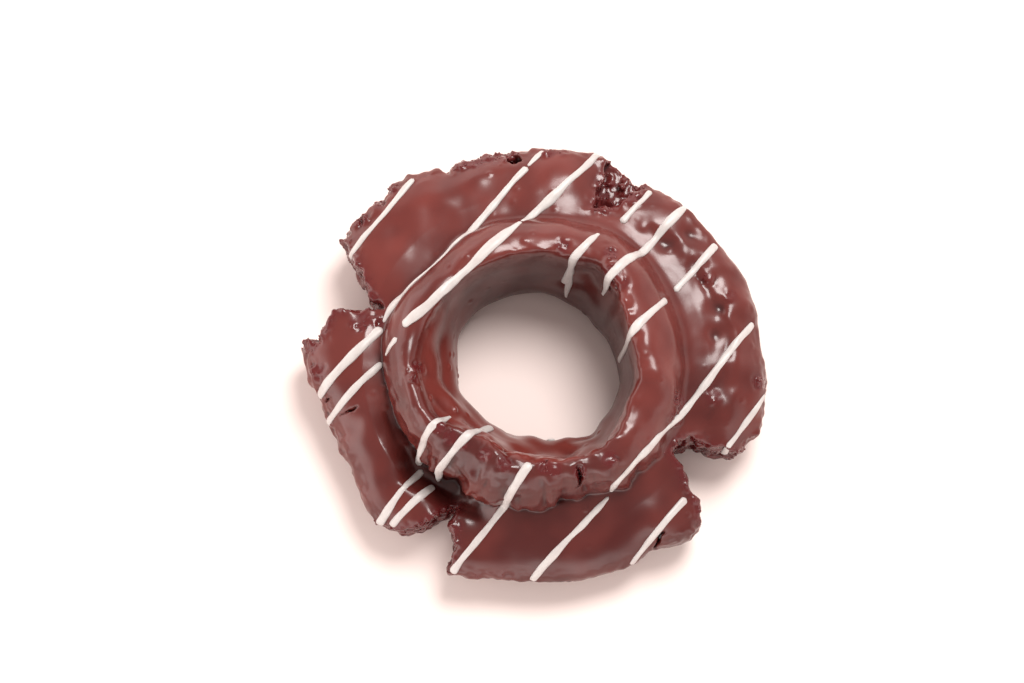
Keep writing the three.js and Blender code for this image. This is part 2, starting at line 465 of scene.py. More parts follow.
@dataclass(frozen=True)
class Flange:
    """The thick outer rim before it splits. Sizes in millimetres."""

    foot_radius: float = 29.5
    shoulder_radius: float = 34.0
    undercut: float = 4.6
    undercut_top: float = 9.5
    reach: Knots = ((5, 44.6), (25, 45), (38, 44.2), (50, 44.2), (60, 43.1), (72, 45), (95, 44.2),
                    (112, 44.2), (122, 46.4), (146, 46.6), (173, 46.6), (181, 45.4), (190, 42.6),
                    (206, 41.6), (223, 43.4), (248, 44), (264, 42), (290, 42.7), (304, 43.6),
                    (313, 45.4), (343, 46.9), (355, 46))
    # Height of the petals beside the collar, at the shoulder and at the rim.
    at_foot: Knots = ((0, 18.4), (20, 18.8), (45, 18.45), (62, 18.7), (80, 18.9), (110, 18.3),
                      (150, 17.6), (180, 16.4), (215, 15.0), (235, 14.4), (258, 15.7), (300, 16.2),
                      (335, 17.6))
    at_shoulder: Knots = ((0, 18.0), (20, 18.4), (45, 18.2), (80, 18.2), (110, 18.0), (150, 17.7),
                          (180, 17.2), (215, 15.4), (238, 14.2), (258, 14.3), (300, 14.6),
                          (335, 16.8))
    at_rim: Knots = ((0, 13.4), (20, 15.2), (45, 16.0), (62, 15.0), (85, 14.6), (125, 13.6),
                     (150, 13.2), (175, 11.5), (205, 9.4), (235, 8.8), (262, 8.8), (290, 8.8),
                     (318, 11.4), (345, 12.4))
    # How crisp the rim's upper edge is, as its rounding.
    edge: Knots = ((20, 2.6), (75, 1.4), (110, 0.9), (150, 1.4), (185, 1.0), (225, 1.6),
                   (270, 1.2), (310, 1.4), (345, 2.2))
    # A hollow beside the collar: where it is deep, and how wide.
    hollow_radius: float = 30.0
    hollow_width: float = 3.3
    hollow_wander: Ripple = Ripple(1.2, 6.5)
    noise: LatticeNoise = LatticeNoise(53)
    hollow: Knots = ((30, 0.0), (192, 0.0), (208, 1.8), (221, 4.6), (236, 5.2), (247, 2.4),
                     (257, 0.0))
    # The raised, crumbly edge that runs across the right-hand petal, and the groove inside it.
    ridge: Knots = ((0, 38.4), (14, 38.8), (28, 36.8), (46, 34.9), (62, 34.2), (330, 36.0))
    ridge_wander: Ripples = (Ripple(1.5, 6.0, 410.0), Ripple(0.7, 2.6, 450.0))
    groove: Knots = ((14, 0.8), (30, 0.8), (46, 0.7), (60, 0.3), (72, 0.0), (328, 0.0), (348, 0.4))

    def top(self, place: Place) -> np.ndarray:
        """Height of the petals' upper face.

        Args:
            place: The places to read.

        Returns:
            One height for each place.
        """
        bearing = place.bearing
        reach = around(self.reach, bearing)
        foot, shoulder = around(self.at_foot, bearing), around(self.at_shoulder, bearing)
        share = (place.radius - self.foot_radius) / (self.shoulder_radius - self.foot_radius)
        height = foot + (shoulder - foot) * np.clip(share, -0.3, 1.0)
        outward = (place.radius - self.shoulder_radius) / (reach - self.shoulder_radius)
        outward = np.clip(outward, 0.0, 1.3)
        drop = shoulder - around(self.at_rim, bearing)
        wander = self.hollow_wander.read(self.noise, place.points)
        beyond = np.maximum(place.radius - self.hollow_radius + wander, 0.0) / self.hollow_width
        sunk = around(self.hollow, bearing) * np.exp(-beyond ** 2)
        return height - drop * (0.45 * outward + 0.55 * outward ** 3) - sunk

    def field(self, place: Place) -> np.ndarray:
        """Distance to the flange's skin, negative inside.

        Args:
            place: The places to read.

        Returns:
            One distance for each place.
        """
        bearing, radius, tall = place.bearing, place.radius, place.points[:, 2]
        below = np.clip(1.0 - tall / self.undercut_top, 0.0, 1.2)
        side = radius - around(self.reach, bearing) + self.undercut * below ** 1.7
        top = self.top(place)
        shape = soft_max(side, (tall - top) * 0.96, around(self.edge, bearing))
        return np.maximum(soft_max(shape, -tall, 1.6), 24.0 - radius)


@dataclass(frozen=True)
class Split:
    """A ragged gap torn between two petals, as a plan outline from the collar past the rim."""

    outline: Outline
    floor: float = -8.0
    ragged: float = 1.0

    def __post_init__(self) -> None:
        """Work out the outline's distances once."""
        loop = np.array(self.outline)
        table = FlatTable((-51.0, -49.0), (51.0, 49.0), 0.3, lambda at: loop_distance(at, loop))
        object.__setattr__(self, "plan", table)

    def field(self, points: np.ndarray) -> np.ndarray:
        """Distance to the gap before it is made ragged, negative inside it.

        Args:
            points: Points in millimetres, one row each.

        Returns:
            One distance for each point.
        """
        gap = self.plan.read(points[:, 0], points[:, 1])
        return soft_max(gap, self.floor - points[:, 2], 1.2)


@dataclass(frozen=True)
class Crack:
    """A short cleft in the upper skin along a plan path, closing towards its ends."""

    path: Outline
    half_width: float
    floor: float

    def field(self, points: np.ndarray) -> np.ndarray:
        """Distance to the cleft, negative inside it, narrowing with depth.

        Args:
            points: Points in millimetres, one row each.

        Returns:
            One distance for each point.
        """
        away, along = path_place(points[:, :2], np.array(self.path))
        depth = np.clip((points[:, 2] - self.floor) / 3.0, 0.0, 1.2)
        width = self.half_width * depth ** 0.6 * np.sqrt(np.clip(4.0 * along * (1.0 - along), 0.1, 1))
        return np.maximum(away - width, self.floor - points[:, 2])


@dataclass(frozen=True)
class Mound:
    """A gentle rise, or a slump if its height is negative. Sizes in millimetres."""

    x: float
    y: float
    size: float
    height: float

    def lift(self, points: np.ndarray) -> np.ndarray:
        """Height that it adds at each point."""
        away = (points[:, 0] - self.x) ** 2 + (points[:, 1] - self.y) ** 2
        return self.height * np.exp(-away / self.size ** 2)


@dataclass(frozen=True)
class Swell:
    """A layer of swellings in the glaze, with its heights by zone, which add up.

    Sizes in millimetres.
    """

    size: float
    shift: float = 0.0
    all_over: float = 0.0
    ring: float = 0.0
    front: float = 0.0
    east: float = 0.0
    north: float = 0.0
    # How flat the hills' tops are, or 0 for round ones.
    flat: float = 0.0
    # How much it is calmed where the upper right petal meets the collar.
    calm: float = 0.0
    # Whether it is left out in the hole and on the collar's left inner slope.
    outer: bool = False


@dataclass(frozen=True)
class Patch:
    """A spot where crumbs stand through the glaze. Plan place, size in millimetres, strength."""

    x: float
    y: float
    size: float
    strength: float = 1.0


SWELLS = (
    Swell(size=11.0, all_over=0.42, ring=0.2, calm=0.6),
    Swell(size=5.4, shift=40.0, all_over=0.18, ring=0.26, front=0.22, east=0.1, calm=0.6),
    Swell(size=6.6, shift=90.0, east=0.26, flat=2.4),
    Swell(size=7.6, shift=140.0, north=0.26),
    Swell(size=2.6, shift=80.0, all_over=0.03, ring=0.05, front=0.13, east=0.06, outer=True),
)
SPLITS = (
    Split(outline=((-30.2, 11.6), (-32.3, 13.6), (-34.4, 18.6), (-36.2, 21.6), (-38.8, 26),
                   (-44, 31), (-56, 26), (-56, 6), (-46.4, 5.2), (-42.4, 5.8), (-41.2, 8.4),
                   (-40, 11), (-34, 11.4))),
    Split(outline=((-15, -26.8), (-18.6, -28.4), (-22, -31), (-25.5, -32.2), (-31, -30.4),
                   (-40, -40), (-28, -54), (-17.2, -50), (-17.1, -40), (-15.8, -35),
                   (-16.6, -31.4))),
    Split(outline=((26.2, -17.4), (27.8, -15.2), (30.4, -14.6), (33.2, -15.6), (36.4, -16.6),
                   (39.6, -16.9), (44.2, -14.4), (54, -16), (50, -36), (32.6, -31.4),
                   (31.6, -28.2), (32, -26.8), (29.4, -23.8), (28.2, -20.4))),
    Split(outline=((11.6, 31.4), (12.6, 36), (14, 40.4), (17, 48), (27, 43), (22.0, 36.8),
                   (19.0, 33.4), (15, 31.4)), floor=12.2, ragged=1.2),
)
CRACKS = (
    Crack(path=((8.2, -22.6), (8.3, -24.6), (7.2, -26.2), (5.2, -27.0)), half_width=0.75, floor=22.6),
    Crack(path=((-5.3, 41.6), (-4.0, 41.8), (-2.7, 41.4)), half_width=1.1, floor=11.5),
    Crack(path=((-20.2, 45.2), (-18.6, 41.9), (-17.3, 39.4)), half_width=1.1, floor=9.0),
    Crack(path=((-38.5, -9.4), (-36.7, -8.7), (-34.8, -8.5)), half_width=0.35, floor=12.6),
    Crack(path=((-42.0, -6.9), (-41.2, -6.3), (-40.6, -6.1)), half_width=0.5, floor=11.0),
    Crack(path=((24.9, -32.6), (23.4, -35.2), (21.9, -37.6)), half_width=0.5, floor=8.0),
)
MOUNDS = (
    Mound(14.5, 36.0, 6.0, -1.6), Mound(31.5, -25.5, 6.0, -1.7), Mound(32.0, -17.0, 5.0, -2.2),
    Mound(41.0, -15.5, 5.0, -2.6), Mound(-31.5, 10.5, 4.5, -1.5), Mound(-35.6, -12.2, 2.6, -0.7),
    Mound(35.0, -7.0, 3.0, 0.5), Mound(22.5, -36.0, 2.4, -1.2), Mound(-18.0, 33.0, 3.2, 0.5),
    Mound(-11.5, 37.5, 2.4, 0.4), Mound(5.2, 38.8, 6.4, 1.15), Mound(-1.0, 34.0, 2.8, 0.4),
    Mound(26.2, 24.2, 1.9, -0.6), Mound(30.3, 25.8, 1.5, -0.45), Mound(32.9, 20.5, 1.6, -0.55),
    Mound(34.6, 16.0, 1.5, -0.5), Mound(36.4, 11.4, 1.6, -0.6), Mound(34.9, 5.7, 1.6, -0.45),
    Mound(35.7, -5.3, 2.0, -0.5), Mound(38.6, 17.0, 2.4, 0.35), Mound(39.2, 5.5, 2.4, 0.3),
    Mound(38.4, -11.0, 2.8, 0.5), Mound(21.6, 2.0, 2.4, 0.5), Mound(23.6, -5.0, 2.4, 0.5),
    Mound(18.0, -15.0, 2.6, 0.55), Mound(-20.5, -12.5, 2.6, 0.5), Mound(-1.0, -24.0, 2.4, 0.5),
    Mound(22.2, -29.6, 4.6, 1.0), Mound(15.0, -36.0, 3.2, 0.4), Mound(-27.5, 27.0, 2.6, -0.5),
)
PATCHES = (
    Patch(-15.0, 41.4, 2.6), Patch(-11.8, 42.0, 3.0), Patch(-8.4, 42.8, 3.0), Patch(-5.4, 43.0, 2.6),
    Patch(2.6, 43.4, 2.4, 0.8), Patch(5.4, 43.6, 2.2, 0.6), Patch(-28.2, 36.6, 2.2),
    Patch(-31.4, 33.4, 2.4), Patch(-35.0, 30.0, 2.6), Patch(-38.8, 25.6, 2.8), Patch(-32.4, 12.8, 2.4),
    Patch(5.2, 21.4, 2.2, 0.8), Patch(14.4, 19.8, 2.2, 0.8),
    Patch(14.8, 15.8, 2.4, 0.8), Patch(17.0, 13.8, 2.0, 0.6),
    Patch(-22.8, -2.4, 1.8, 0.8), Patch(-23.5, -4.8, 1.6, 0.7),
    Patch(-18.5, -14.4, 1.8), Patch(-16.4, -16.2, 2.0), Patch(-14.2, -17.6, 1.6),
    Patch(-9.8, -19.8, 1.8), Patch(-6.0, -21.6, 2.2), Patch(1.6, -22.0, 2.2), Patch(3.4, -22.6, 2.0),
    Patch(8.2, -23.0, 2.0), Patch(13.9, -20.4, 2.4, 0.8), Patch(27.8, -8.0, 2.2, 0.8),
    Patch(27.0, -11.4, 2.0, 0.8), Patch(-34.4, 8.6, 3.2), Patch(-31.2, 8.4, 2.0),
    Patch(-44.4, 4.4, 2.6), Patch(-43.0, -1.0, 2.6, 0.8), Patch(-15.6, -31.8, 2.0, 0.8),
    Patch(-12.0, -42.4, 3.0, 0.8), Patch(-5.6, -42.2, 3.0, 0.7), Patch(42.4, -15.8, 2.6),
    Patch(44.2, -3.2, 2.4, 0.8), Patch(31.6, -26.4, 2.4, 0.8), Patch(34.6, -29.0, 2.4, 0.7),
    Patch(16.0, 35.4, 4.4), Patch(19.4, 34.4, 3.6), Patch(13.6, 31.6, 2.4), Patch(20.4, 37.4, 3.0),
    Patch(33.5, 16.8, 2.2, 0.5), Patch(38.4, 13.4, 2.2, 0.5), Patch(34.8, -6.6, 2.6, 0.6),
)


class Petal(Enum):
    """The parts of the skin, each with the bearings it spans in degrees."""

    COLLAR = (0.0, 360.0)
    NORTH = (64.0, 159.0)
    WEST = (159.0, 240.0)
    SOUTH = (240.0, 328.0)
    EAST = (328.0, 424.0)


@dataclass(frozen=True)
class Doughnut:
    """The glazed cake: collar, flange, splits, lumps and torn faces as one skin.

    Sizes in millimetres.
    """

    collar: Collar = Collar()
    flange: Flange = Flange()
    splits: tuple[Split, ...] = SPLITS
    cracks: tuple[Crack, ...] = CRACKS
    mounds: tuple[Mound, ...] = MOUNDS
    patches: tuple[Patch, ...] = PATCHES
    swells: tuple[Swell, ...] = SWELLS
    # Noise for the skin and for the crumb.
    noise: LatticeNoise = LatticeNoise(11)
    crumb_noise: LatticeNoise = LatticeNoise(29)
    # How ragged edges wander, and how far that moves the rim and the hole's lip.
    wobble: Ripples = (Ripple(0.6, 4.2, 20.0), Ripple(0.42, 1.7, 60.0))
    rim_wobble: float = 1.15
    lip_wobble: float = 0.75
    crack_wobble: float = 0.9
    # The lumps of bare crumb, its fine grain, and how deep crumb lies on a torn face.
    chunks: Ripples = (Ripple(1.15, 2.6), Ripple(0.6, 1.3))
    grain: float = 0.3
    grain_size: float = 1.05
    torn_crumbs: float = 0.8
    # Folds of thick glaze: height, length, and spacing out from the middle and in height.
    fold_height: float = 0.26
    fold_size: tuple[float, float, float] = (5.0, 1.5, 2.4)
    # Pimples in the glaze, and how far apart their groups are.
    spot_height: float = 0.2
    spot_spacing: float = 3.2
    spot_groups: float = 9.0
    # How the edges of splits and cracks are rounded.
    split_edge: float = 0.55
    crack_edge: float = 0.45
    # How the glaze's warmth drifts at random, as its own varied tone.
    tone_drift: Ripples = (Ripple(0.3, 9.0, 500.0), Ripple(0.2, 4.0))
    # Spacing of the skin's points, and how many of them the first coarse step spans.
    step: float = 0.32
    coarse: int = 4
    # The corners of the box that is searched for the skin.
    low: tuple[float, float, float] = (-49.0, -47.0, -1.6)
    high: tuple[float, float, float] = (49.0, 47.0, 29.6)
    # The depth to either side of the plain form in which its relief is worked out.
    skin_depth: float = 2.6
    # How wide the hollow between collar and petals is filled by glaze.
    fillet: Knots = ((0, 1.8), (45, 2.0), (75, 2.0), (110, 1.6), (150, 1.4), (190, 1.0),
                     (235, 0.7), (285, 0.7), (320, 1.2), (345, 1.8))
    # How ragged the rim is.
    rag: Knots = ((0, 0.5), (25, 0.2), (50, 0.5), (70, 0.9), (85, 0.6), (100, 1.0), (118, 0.8),
                  (126, 1.3), (150, 1.2), (172, 1.6), (196, 1.3), (215, 0.6), (240, 0.9),
                  (262, 0.9), (280, 0.3), (300, 0.6), (315, 1.2), (336, 1.3), (348, 0.8))
    # How warm the glaze is drawn on the petals, on the collar and in the hole, by bearing: painted
    # light on the sides turned towards the key lamp and painted shade on the far sides.
    petal_painted_light: Knots = ((20, 0.5), (60, 0.6), (100, 0.6), (140, 0.55), (175, 0.5), (205, 0.3),
                         (240, 0.2), (280, 0.15), (310, 0.15), (345, 0.35))
    collar_painted_light: Knots = ((20, 0.65), (90, 0.6), (140, 0.4), (190, 0.3), (225, 0.2),
                          (255, 0.15), (290, 0.2), (325, 0.5))
    inner_painted_light: Knots = ((20, 0.1), (60, 0.05), (110, 0.1), (150, 0.5), (180, 1.0), (215, 0.9),
                         (245, 1.0), (290, 1.0), (315, 0.5))

    def split_place(self, points: np.ndarray) -> tuple[np.ndarray, np.ndarray]:
        """Distance to the nearest split before it is made ragged, and how ragged that one is.

        Args:
            points: Points in millimetres, one row each.

        Returns:
            The distances, and the raggedness.
        """
        best = np.full(len(points), FAR_MM)
        ragged = np.ones(len(points))
        for split in self.splits:
            gap = split.field(points)
            ragged = np.where(gap < best, split.ragged, ragged)
            best = np.minimum(best, gap)
        return best, ragged

    def crumbs_at(self, points: np.ndarray) -> np.ndarray:
        """How much crumb stands through the glaze, from 0 to 1.

        Args:
            points: Points in millimetres, one row each.

        Returns:
            One value for each point.
        """
        most = np.zeros(len(points))
        for patch in self.patches:
            gap = np.hypot(points[:, 0] - patch.x, points[:, 1] - patch.y)
            most = np.maximum(most, patch.strength * (1.0 - ramp(0.35 * patch.size, patch.size, gap)))
        return most * ramp(8.0, 11.0, points[:, 2])

    def lumps(self, place: Place) -> np.ndarray:
        """Swelling of the glazed skin in millimetres.

        Args:
            place: The places to read.

        Returns:
            How far the skin is raised.
        """
        points, radius, bearing = place.points, place.radius, place.bearing
        ring = 1.0 - ramp(27.0, 29.5, radius)
        front = ring * near_bearing(bearing, 250.0, 95.0)
        east = near_bearing(bearing, 12.0, 52.0) * ramp(33.0, 36.0, radius)
        north = near_bearing(bearing, 112.0, 50.0) * ramp(30.5, 33.5, radius)
        calm = near_bearing(bearing, 40.0, 60.0) * np.exp(-((radius - 31.5) / 2.6) ** 2)
        outer = ramp(19.0, 23.0, radius) * (1.0 - 0.7 * near_bearing(bearing, 180.0, 45.0) * ring)
        total = self.ridged(place)
        for swell in self.swells:
            hills = self.noise.wave(points + swell.shift, swell.size)
            if swell.flat:
                hills = np.tanh(swell.flat * hills)
            height = swell.all_over + swell.ring * ring + swell.front * front
            height = height + swell.east * east + swell.north * north
            height = height * (1.0 - swell.calm * calm)
            total += height * hills * (outer if swell.outer else 1.0)
        outside = ramp(29.0, 31.0, radius)
        for mound in self.mounds:
            on_petal = math.hypot(mound.x, mound.y) > self.collar.outer_radius
            total += (outside if on_petal else ring) * mound.lift(points)
        return total

    def ridged(self, place: Place) -> np.ndarray:
        """The groove across the right-hand petal and the crumbly edge outside it.

        Args:
            place: The places to read.

        Returns:
            How far the skin is raised, less than 0 in the groove.
        """
        edge = around(self.flange.ridge, place.bearing)
        edge += rippled(self.flange.ridge_wander, self.noise, place.points)
        beyond = place.radius - edge
        foot = self.flange.foot_radius
        inside = np.clip((place.radius - foot) / (edge - foot), 0.0, 1.0)
        rise = 1.0 - ramp(-2.0, 1.8, beyond)
        crest = 0.25 * np.exp(-((beyond - 2.2) / 2.2) ** 2)
        return around(self.flange.groove, place.bearing) * (crest - inside * rise)

    def folds(self, place: Place) -> np.ndarray:
        """Runs of thick glaze along the collar's outer wall at the lower left.

        Args:
            place: The places to read.

        Returns:
            How far the skin is raised.
        """
        amount = near_bearing(place.bearing, 220.0, 44.0)
        amount *= ramp(24.5, 26.5, place.radius) * (1.0 - ramp(30.5, 32.5, place.radius))
        along = np.radians(place.bearing) * self.collar.outer_radius
        turned = np.stack([along, place.radius, place.points[:, 2]], 1) / self.fold_size
        return self.fold_height * amount * self.noise.wave(turned, 1.0)

    def spots(self, place: Place) -> np.ndarray:
        """Small raised pimples, in loose groups.

        Args:
            place: The places to read.

        Returns:
            How far the skin is raised.
        """
        group = ramp(-0.05, 0.35, self.noise.wave(place.points + 210.0, self.spot_groups))
        height = np.zeros(len(group))
        held = group > 0.02
        points = place.points[held]
        bump = 1.0 - ramp(0.06, 0.28, self.noise.grains(points + 5.0, self.spot_spacing))
        height[held] = group[held] * self.spot_height * bump
        return height

    def detail(self, place: Place, shape: np.ndarray, gap: np.ndarray,
               ragged: np.ndarray) -> np.ndarray:
        """Add relief, raggedness, crumbs, splits and cracks to the plain form.

        Args:
            place: The places to work on.
            shape: Distance to the plain form there.
            gap: Distance to the nearest split there, before it is made ragged.
            ragged: How ragged that split is.

        Returns:
            Distance to the finished skin.
        """
        points, radius = place.points, place.radius
        wobble = rippled(self.wobble, self.noise, points)
        reach = around(self.flange.reach, place.bearing)
        rim = ramp(-3.0, -0.6, radius - reach) * around(self.rag, place.bearing)
        rim *= ramp(2.0, 6.0, points[:, 2])
        lip = np.exp(-((self.collar.evened(place) - 20.6) / 1.3) ** 2)
        lip *= ramp(21.0, 24.5, points[:, 2]) * around(self.collar.crispness, place.bearing)
        shape = shape - self.lumps(place) - self.folds(place)
        shape += (self.rim_wobble * rim + self.lip_wobble * lip) * wobble
        gap = gap + ragged * wobble
        torn = self.torn_crumbs * np.exp(-np.clip(np.abs(gap), 0.0, 9.0) / 0.8)
        torn *= ramp(29.0, 31.0, radius)
        crumbs = self.crumbs_at(points) * ramp(-0.5, 0.3, self.noise.wave(points + 300.0, 3.0))
        crumbs = np.maximum(crumbs, torn)
        relief = np.zeros(len(points))
        rough = (crumbs > 0.02) & (np.minimum(np.abs(shape), np.abs(gap)) < 1.4)
        rocky = points[rough] + 0.5 * wobble[rough, None]
        chunks = rippled(self.chunks, self.crumb_noise, rocky)
        fine = 0.5 - self.crumb_noise.grains(points[rough] + 9.0, self.grain_size)
        relief[rough] = crumbs[rough] * (chunks + self.grain * fine)
        spotted = np.abs(shape) < 0.9
        smooth = np.zeros(len(points))
        smooth[spotted] = self.spots(place.pick(spotted))
        shape = shape - smooth * (1.0 - crumbs) * ramp(3.0, 8.0, points[:, 2]) - relief
        shape = soft_max(shape, -gap - relief, self.split_edge)
        aside = self.crack_wobble * wobble
        warped = points + np.stack([aside, -aside, np.zeros(len(aside))], 1)
        for crack in self.cracks:
            shape = soft_max(shape, -crack.field(warped), self.crack_edge)
        return shape

    def field(self, points: np.ndarray) -> np.ndarray:
        """Distance to the finished skin, negative inside.

        Args:
            points: Points in millimetres, one row each.

        Returns:
            One distance for each point.
        """
        place = Place.of(points)
        collar = np.full(len(points), FAR_MM)
        inner = place.radius < 34.5
        collar[inner] = self.collar.field(place.pick(inner))
        shape = soft_min(collar, self.flange.field(place), around(self.fillet, place.bearing))
        solid = shape < 3.0
        held = place.pick(solid)
        value = shape[solid]
        gap, ragged = self.split_place(held.points)
        live = np.minimum(np.abs(value), np.abs(gap)) < self.skin_depth
        plain = np.maximum(value, -gap)
        plain[live] = self.detail(held.pick(live), value[live], gap[live], ragged[live])
        shape[solid] = plain
        return soft_max(shape, -points[:, 2], 0.5)

    def _grid(self) -> tuple[np.ndarray, np.ndarray]:
        """Sample the field on a grid, finely only near the skin.

        Returns:
            The sampled values, and the position of their first corner.
        """
        low, high = np.array(self.low), np.array(self.high)
        stride = self.coarse
        counts = np.ceil((high - low) / (self.step * stride)).astype(int)
        axes = [low[i] + self.step * stride * np.arange(counts[i] + 1) for i in range(3)]
        values = evaluate(self.field, grid_points(axes)).reshape([len(axis) for axis in axes])
        while stride > 1:
            stride //= 2
            for axis in range(3):
                values = halve_spacing(values, axis)
            near = np.abs(values) < (0.8 + 1.4 * self.step * stride)
            values[near] = evaluate(self.field, low + self.step * stride * np.argwhere(near))
        return values, low

    def mesh(self) -> tuple[np.ndarray, np.ndarray]:
        """Build the skin.

        Returns:
            Its points in millimetres and its four-sided faces.
        """
        values, low = self._grid()
        points, quads = surface_net(values, low, self.step)
        points, quads = largest_part(points, quads)
        return settle(self.field, points, self.step), quads

    def masks(self, points: np.ndarray, quads: np.ndarray) -> dict[str, np.ndarray]:
        """How torn and how hollow the skin is, and how warm its glaze is drawn, from 0 to 1 at each
        point. Hollow drives painted shade in creases; warmth is random tone plus painted light and
        shade by bearing.

        Args:
            points: The skin's points in millimetres.
            quads: Its faces.

        Returns:
            The masks by name, one number for each point.
        """
        place = Place.of(points)
        gap, _ = self.split_place(points)
        torn = np.exp(-np.clip(np.abs(gap), 0.0, 9.0) / 1.1) * ramp(28.5, 31.0, place.radius)
        torn = np.maximum(torn, self.crumbs_at(points))
        # How far each point sits below its smoothed neighbours; the glaze darkens there as painted
        # shade in creases and recesses.
        rise = ((smooth_over(points, quads, 24) - points) * point_normals(points, quads)).sum(1)
        outside = ramp(26.5, 33.0, place.radius)
        # Warmth by bearing is painted light on the sides turned towards the key lamp and painted shade
        # on the far sides; the drift below adds random tone.
        warmth = around(self.inner_painted_light, place.bearing)
        inside = ramp(19.6, 21.4, self.collar.evened(place))
        warmth += inside * (around(self.collar_painted_light, place.bearing) - warmth)
        warmth += outside * (around(self.petal_painted_light, place.bearing) - warmth)
        warmth += rippled(self.tone_drift, self.noise, points)
        return {"torn": torn, "hollow": np.clip(0.5 + rise, 0.0, 1.0), "warmth": np.clip(warmth, 0.0, 1.0)}

    def parts(self, points: np.ndarray, quads: np.ndarray) -> dict[Petal, np.ndarray]:
        """Share the skin's faces out between the collar and the petals.

        Args:
            points: The skin's points in millimetres.
            quads: Its faces.

        Returns:
            The faces of each part.
        """
        middle = Place.of(points[quads].mean(1))
        inside = middle.radius < around(self.collar.foot, middle.bearing) + 0.3
        shares = {Petal.COLLAR: quads[inside]}
        for petal in (Petal.NORTH, Petal.WEST, Petal.SOUTH, Petal.EAST):
            start, end = petal.value
            turned = (middle.bearing - start) % 360.0
            shares[petal] = quads[~inside & (turned < end - start)]
        return shares


# ---------------------------------------------------------------- skinning


def grid_points(axes: list[np.ndarray]) -> np.ndarray:
    """All the points of a grid, one row each."""
    return np.stack(np.meshgrid(*axes, indexing="ij"), -1).reshape(-1, 3)


def evaluate(field: Field, points: np.ndarray, block: int = 20000) -> np.ndarray:
    """Read a field at many points, several blocks at a time.

    Args:
        field: The field to read.
        points: Points in millimetres, one row each.
        block: How many points make a block.

    Returns:
        One value for each point.
    """
    blocks = [points[i:i + block] for i in range(0, len(points), block)]
    with ThreadPoolExecutor(4) as pool:
        return np.concatenate(list(pool.map(field, blocks)))


def halve_spacing(values: np.ndarray, axis: int) -> np.ndarray:
    """Put a sample half-way between each two along one axis.

    Args:
        values: Samples on a grid.
        axis: The axis to refine.

    Returns:
        The finer samples.
    """
    ahead = np.moveaxis(values, axis, 0)
    finer = np.empty((2 * len(ahead) - 1, *ahead.shape[1:]))
    finer[::2] = ahead
    finer[1::2] = 0.5 * (ahead[:-1] + ahead[1:])
    return np.moveaxis(finer, 0, axis)


def surface_net(values: np.ndarray, low: np.ndarray, step: float) -> tuple[np.ndarray, np.ndarray]:
    """Skin the zero level of a sampled field with one point in each cell it crosses.

    Args:
        values: Samples, negative inside.
        low: Position of the first sample.
        step: Spacing of the samples.

    Returns:
        The points, and the four-sided faces that join them, facing out.
    """
    inside = values < 0.0
    size = np.array(values.shape) - 1
    corners = list(np.ndindex(2, 2, 2))
    held = sum(inside[i:i + size[0], j:j + size[1], k:k + size[2]].astype(np.int8)
               for i, j, k in corners)
    crossed = (held > 0) & (held < 8)
    cells = np.argwhere(crossed)
    number = np.full(crossed.shape, -1, np.int64)
    number[crossed] = np.arange(len(cells))
    level = {c: values[tuple((cells + np.array(c)).T)] for c in corners}
    total = np.zeros((len(cells), 3))
    count = np.zeros(len(cells))
    for start in corners:
        for axis in range(3):
            if start[axis]:
                continue
            end = tuple(1 if i == axis else start[i] for i in range(3))
            a, b = level[start], level[end]
            cut = (a < 0.0) != (b < 0.0)
            share = np.where(cut, a / np.where(cut, a - b, 1.0), 0.0)
            place = np.array(start, float) + share[:, None] * (np.array(end) - np.array(start))
            total += np.where(cut[:, None], place, 0.0)
            count += cut
    points = low + step * (cells + total / count[:, None])
    faces = []
    for axis in range(3):
        u, v = (axis + 1) % 3, (axis + 2) % 3
        first = np.moveaxis(inside, axis, 0)[:-1]
        second = np.moveaxis(inside, axis, 0)[1:]
        edges = np.argwhere(np.moveaxis(first != second, 0, axis))
        edges = edges[(edges[:, u] > 0) & (edges[:, v] > 0)]
        edges = edges[(edges[:, u] < size[u]) & (edges[:, v] < size[v])]
        ring = []
        for du, dv in ((-1, -1), (0, -1), (0, 0), (-1, 0)):
            cell = edges.copy()
            cell[:, u] += du
            cell[:, v] += dv
            ring.append(number[tuple(cell.T)])
        quads = np.stack(ring, 1)
        outward = inside[tuple(edges.T)]
        quads[~outward] = quads[~outward][:, ::-1]
        faces.append(quads)
    return points, np.concatenate(faces)


def largest_part(points: np.ndarray, quads: np.ndarray) -> tuple[np.ndarray, np.ndarray]:
    """Keep only the largest connected part of a four-sided mesh.

    Args:
        points: The mesh's points.
        quads: Its faces.

    Returns:
        The points and faces that are kept.
    """
    label = np.arange(len(points))
    start, end = quads.ravel(), np.roll(quads, -1, axis=1).ravel()
    settled = False
    while not settled:
        joined = label.copy()
        lower = np.minimum(label[start], label[end])
        np.minimum.at(joined, start, lower)
        np.minimum.at(joined, end, lower)
        joined = joined[joined]
        settled = bool((joined == label).all())
        label = joined
    kept = label == np.bincount(label).argmax()
    return points[kept], (np.cumsum(kept) - 1)[quads[kept[quads[:, 0]]]]


def settle(field: Field, points: np.ndarray, step: float, rounds: int = 2) -> np.ndarray:
    """Move points onto the field's zero level, by less than half a step each round.

    Args:
        field: The field.
        points: Points near its zero level.
        step: The points' spacing.
        rounds: How many times they are moved.

    Returns:
        The moved points.
    """
    reach = 0.3 * step
    level = evaluate(field, points)
    ahead = [evaluate(field, points + reach * axis) for axis in np.eye(3)]
    slope = (np.stack(ahead, 1) - level[:, None]) / reach
    steepness = np.maximum((slope ** 2).sum(1), 0.25)
    for _ in range(rounds):
        move = -(level / steepness)[:, None] * slope
        length = np.linalg.norm(move, axis=1, keepdims=True)
        points = points + move * np.minimum(1.0, 0.4 * step / np.maximum(length, 1e-9))
        level = evaluate(field, points)
    return points


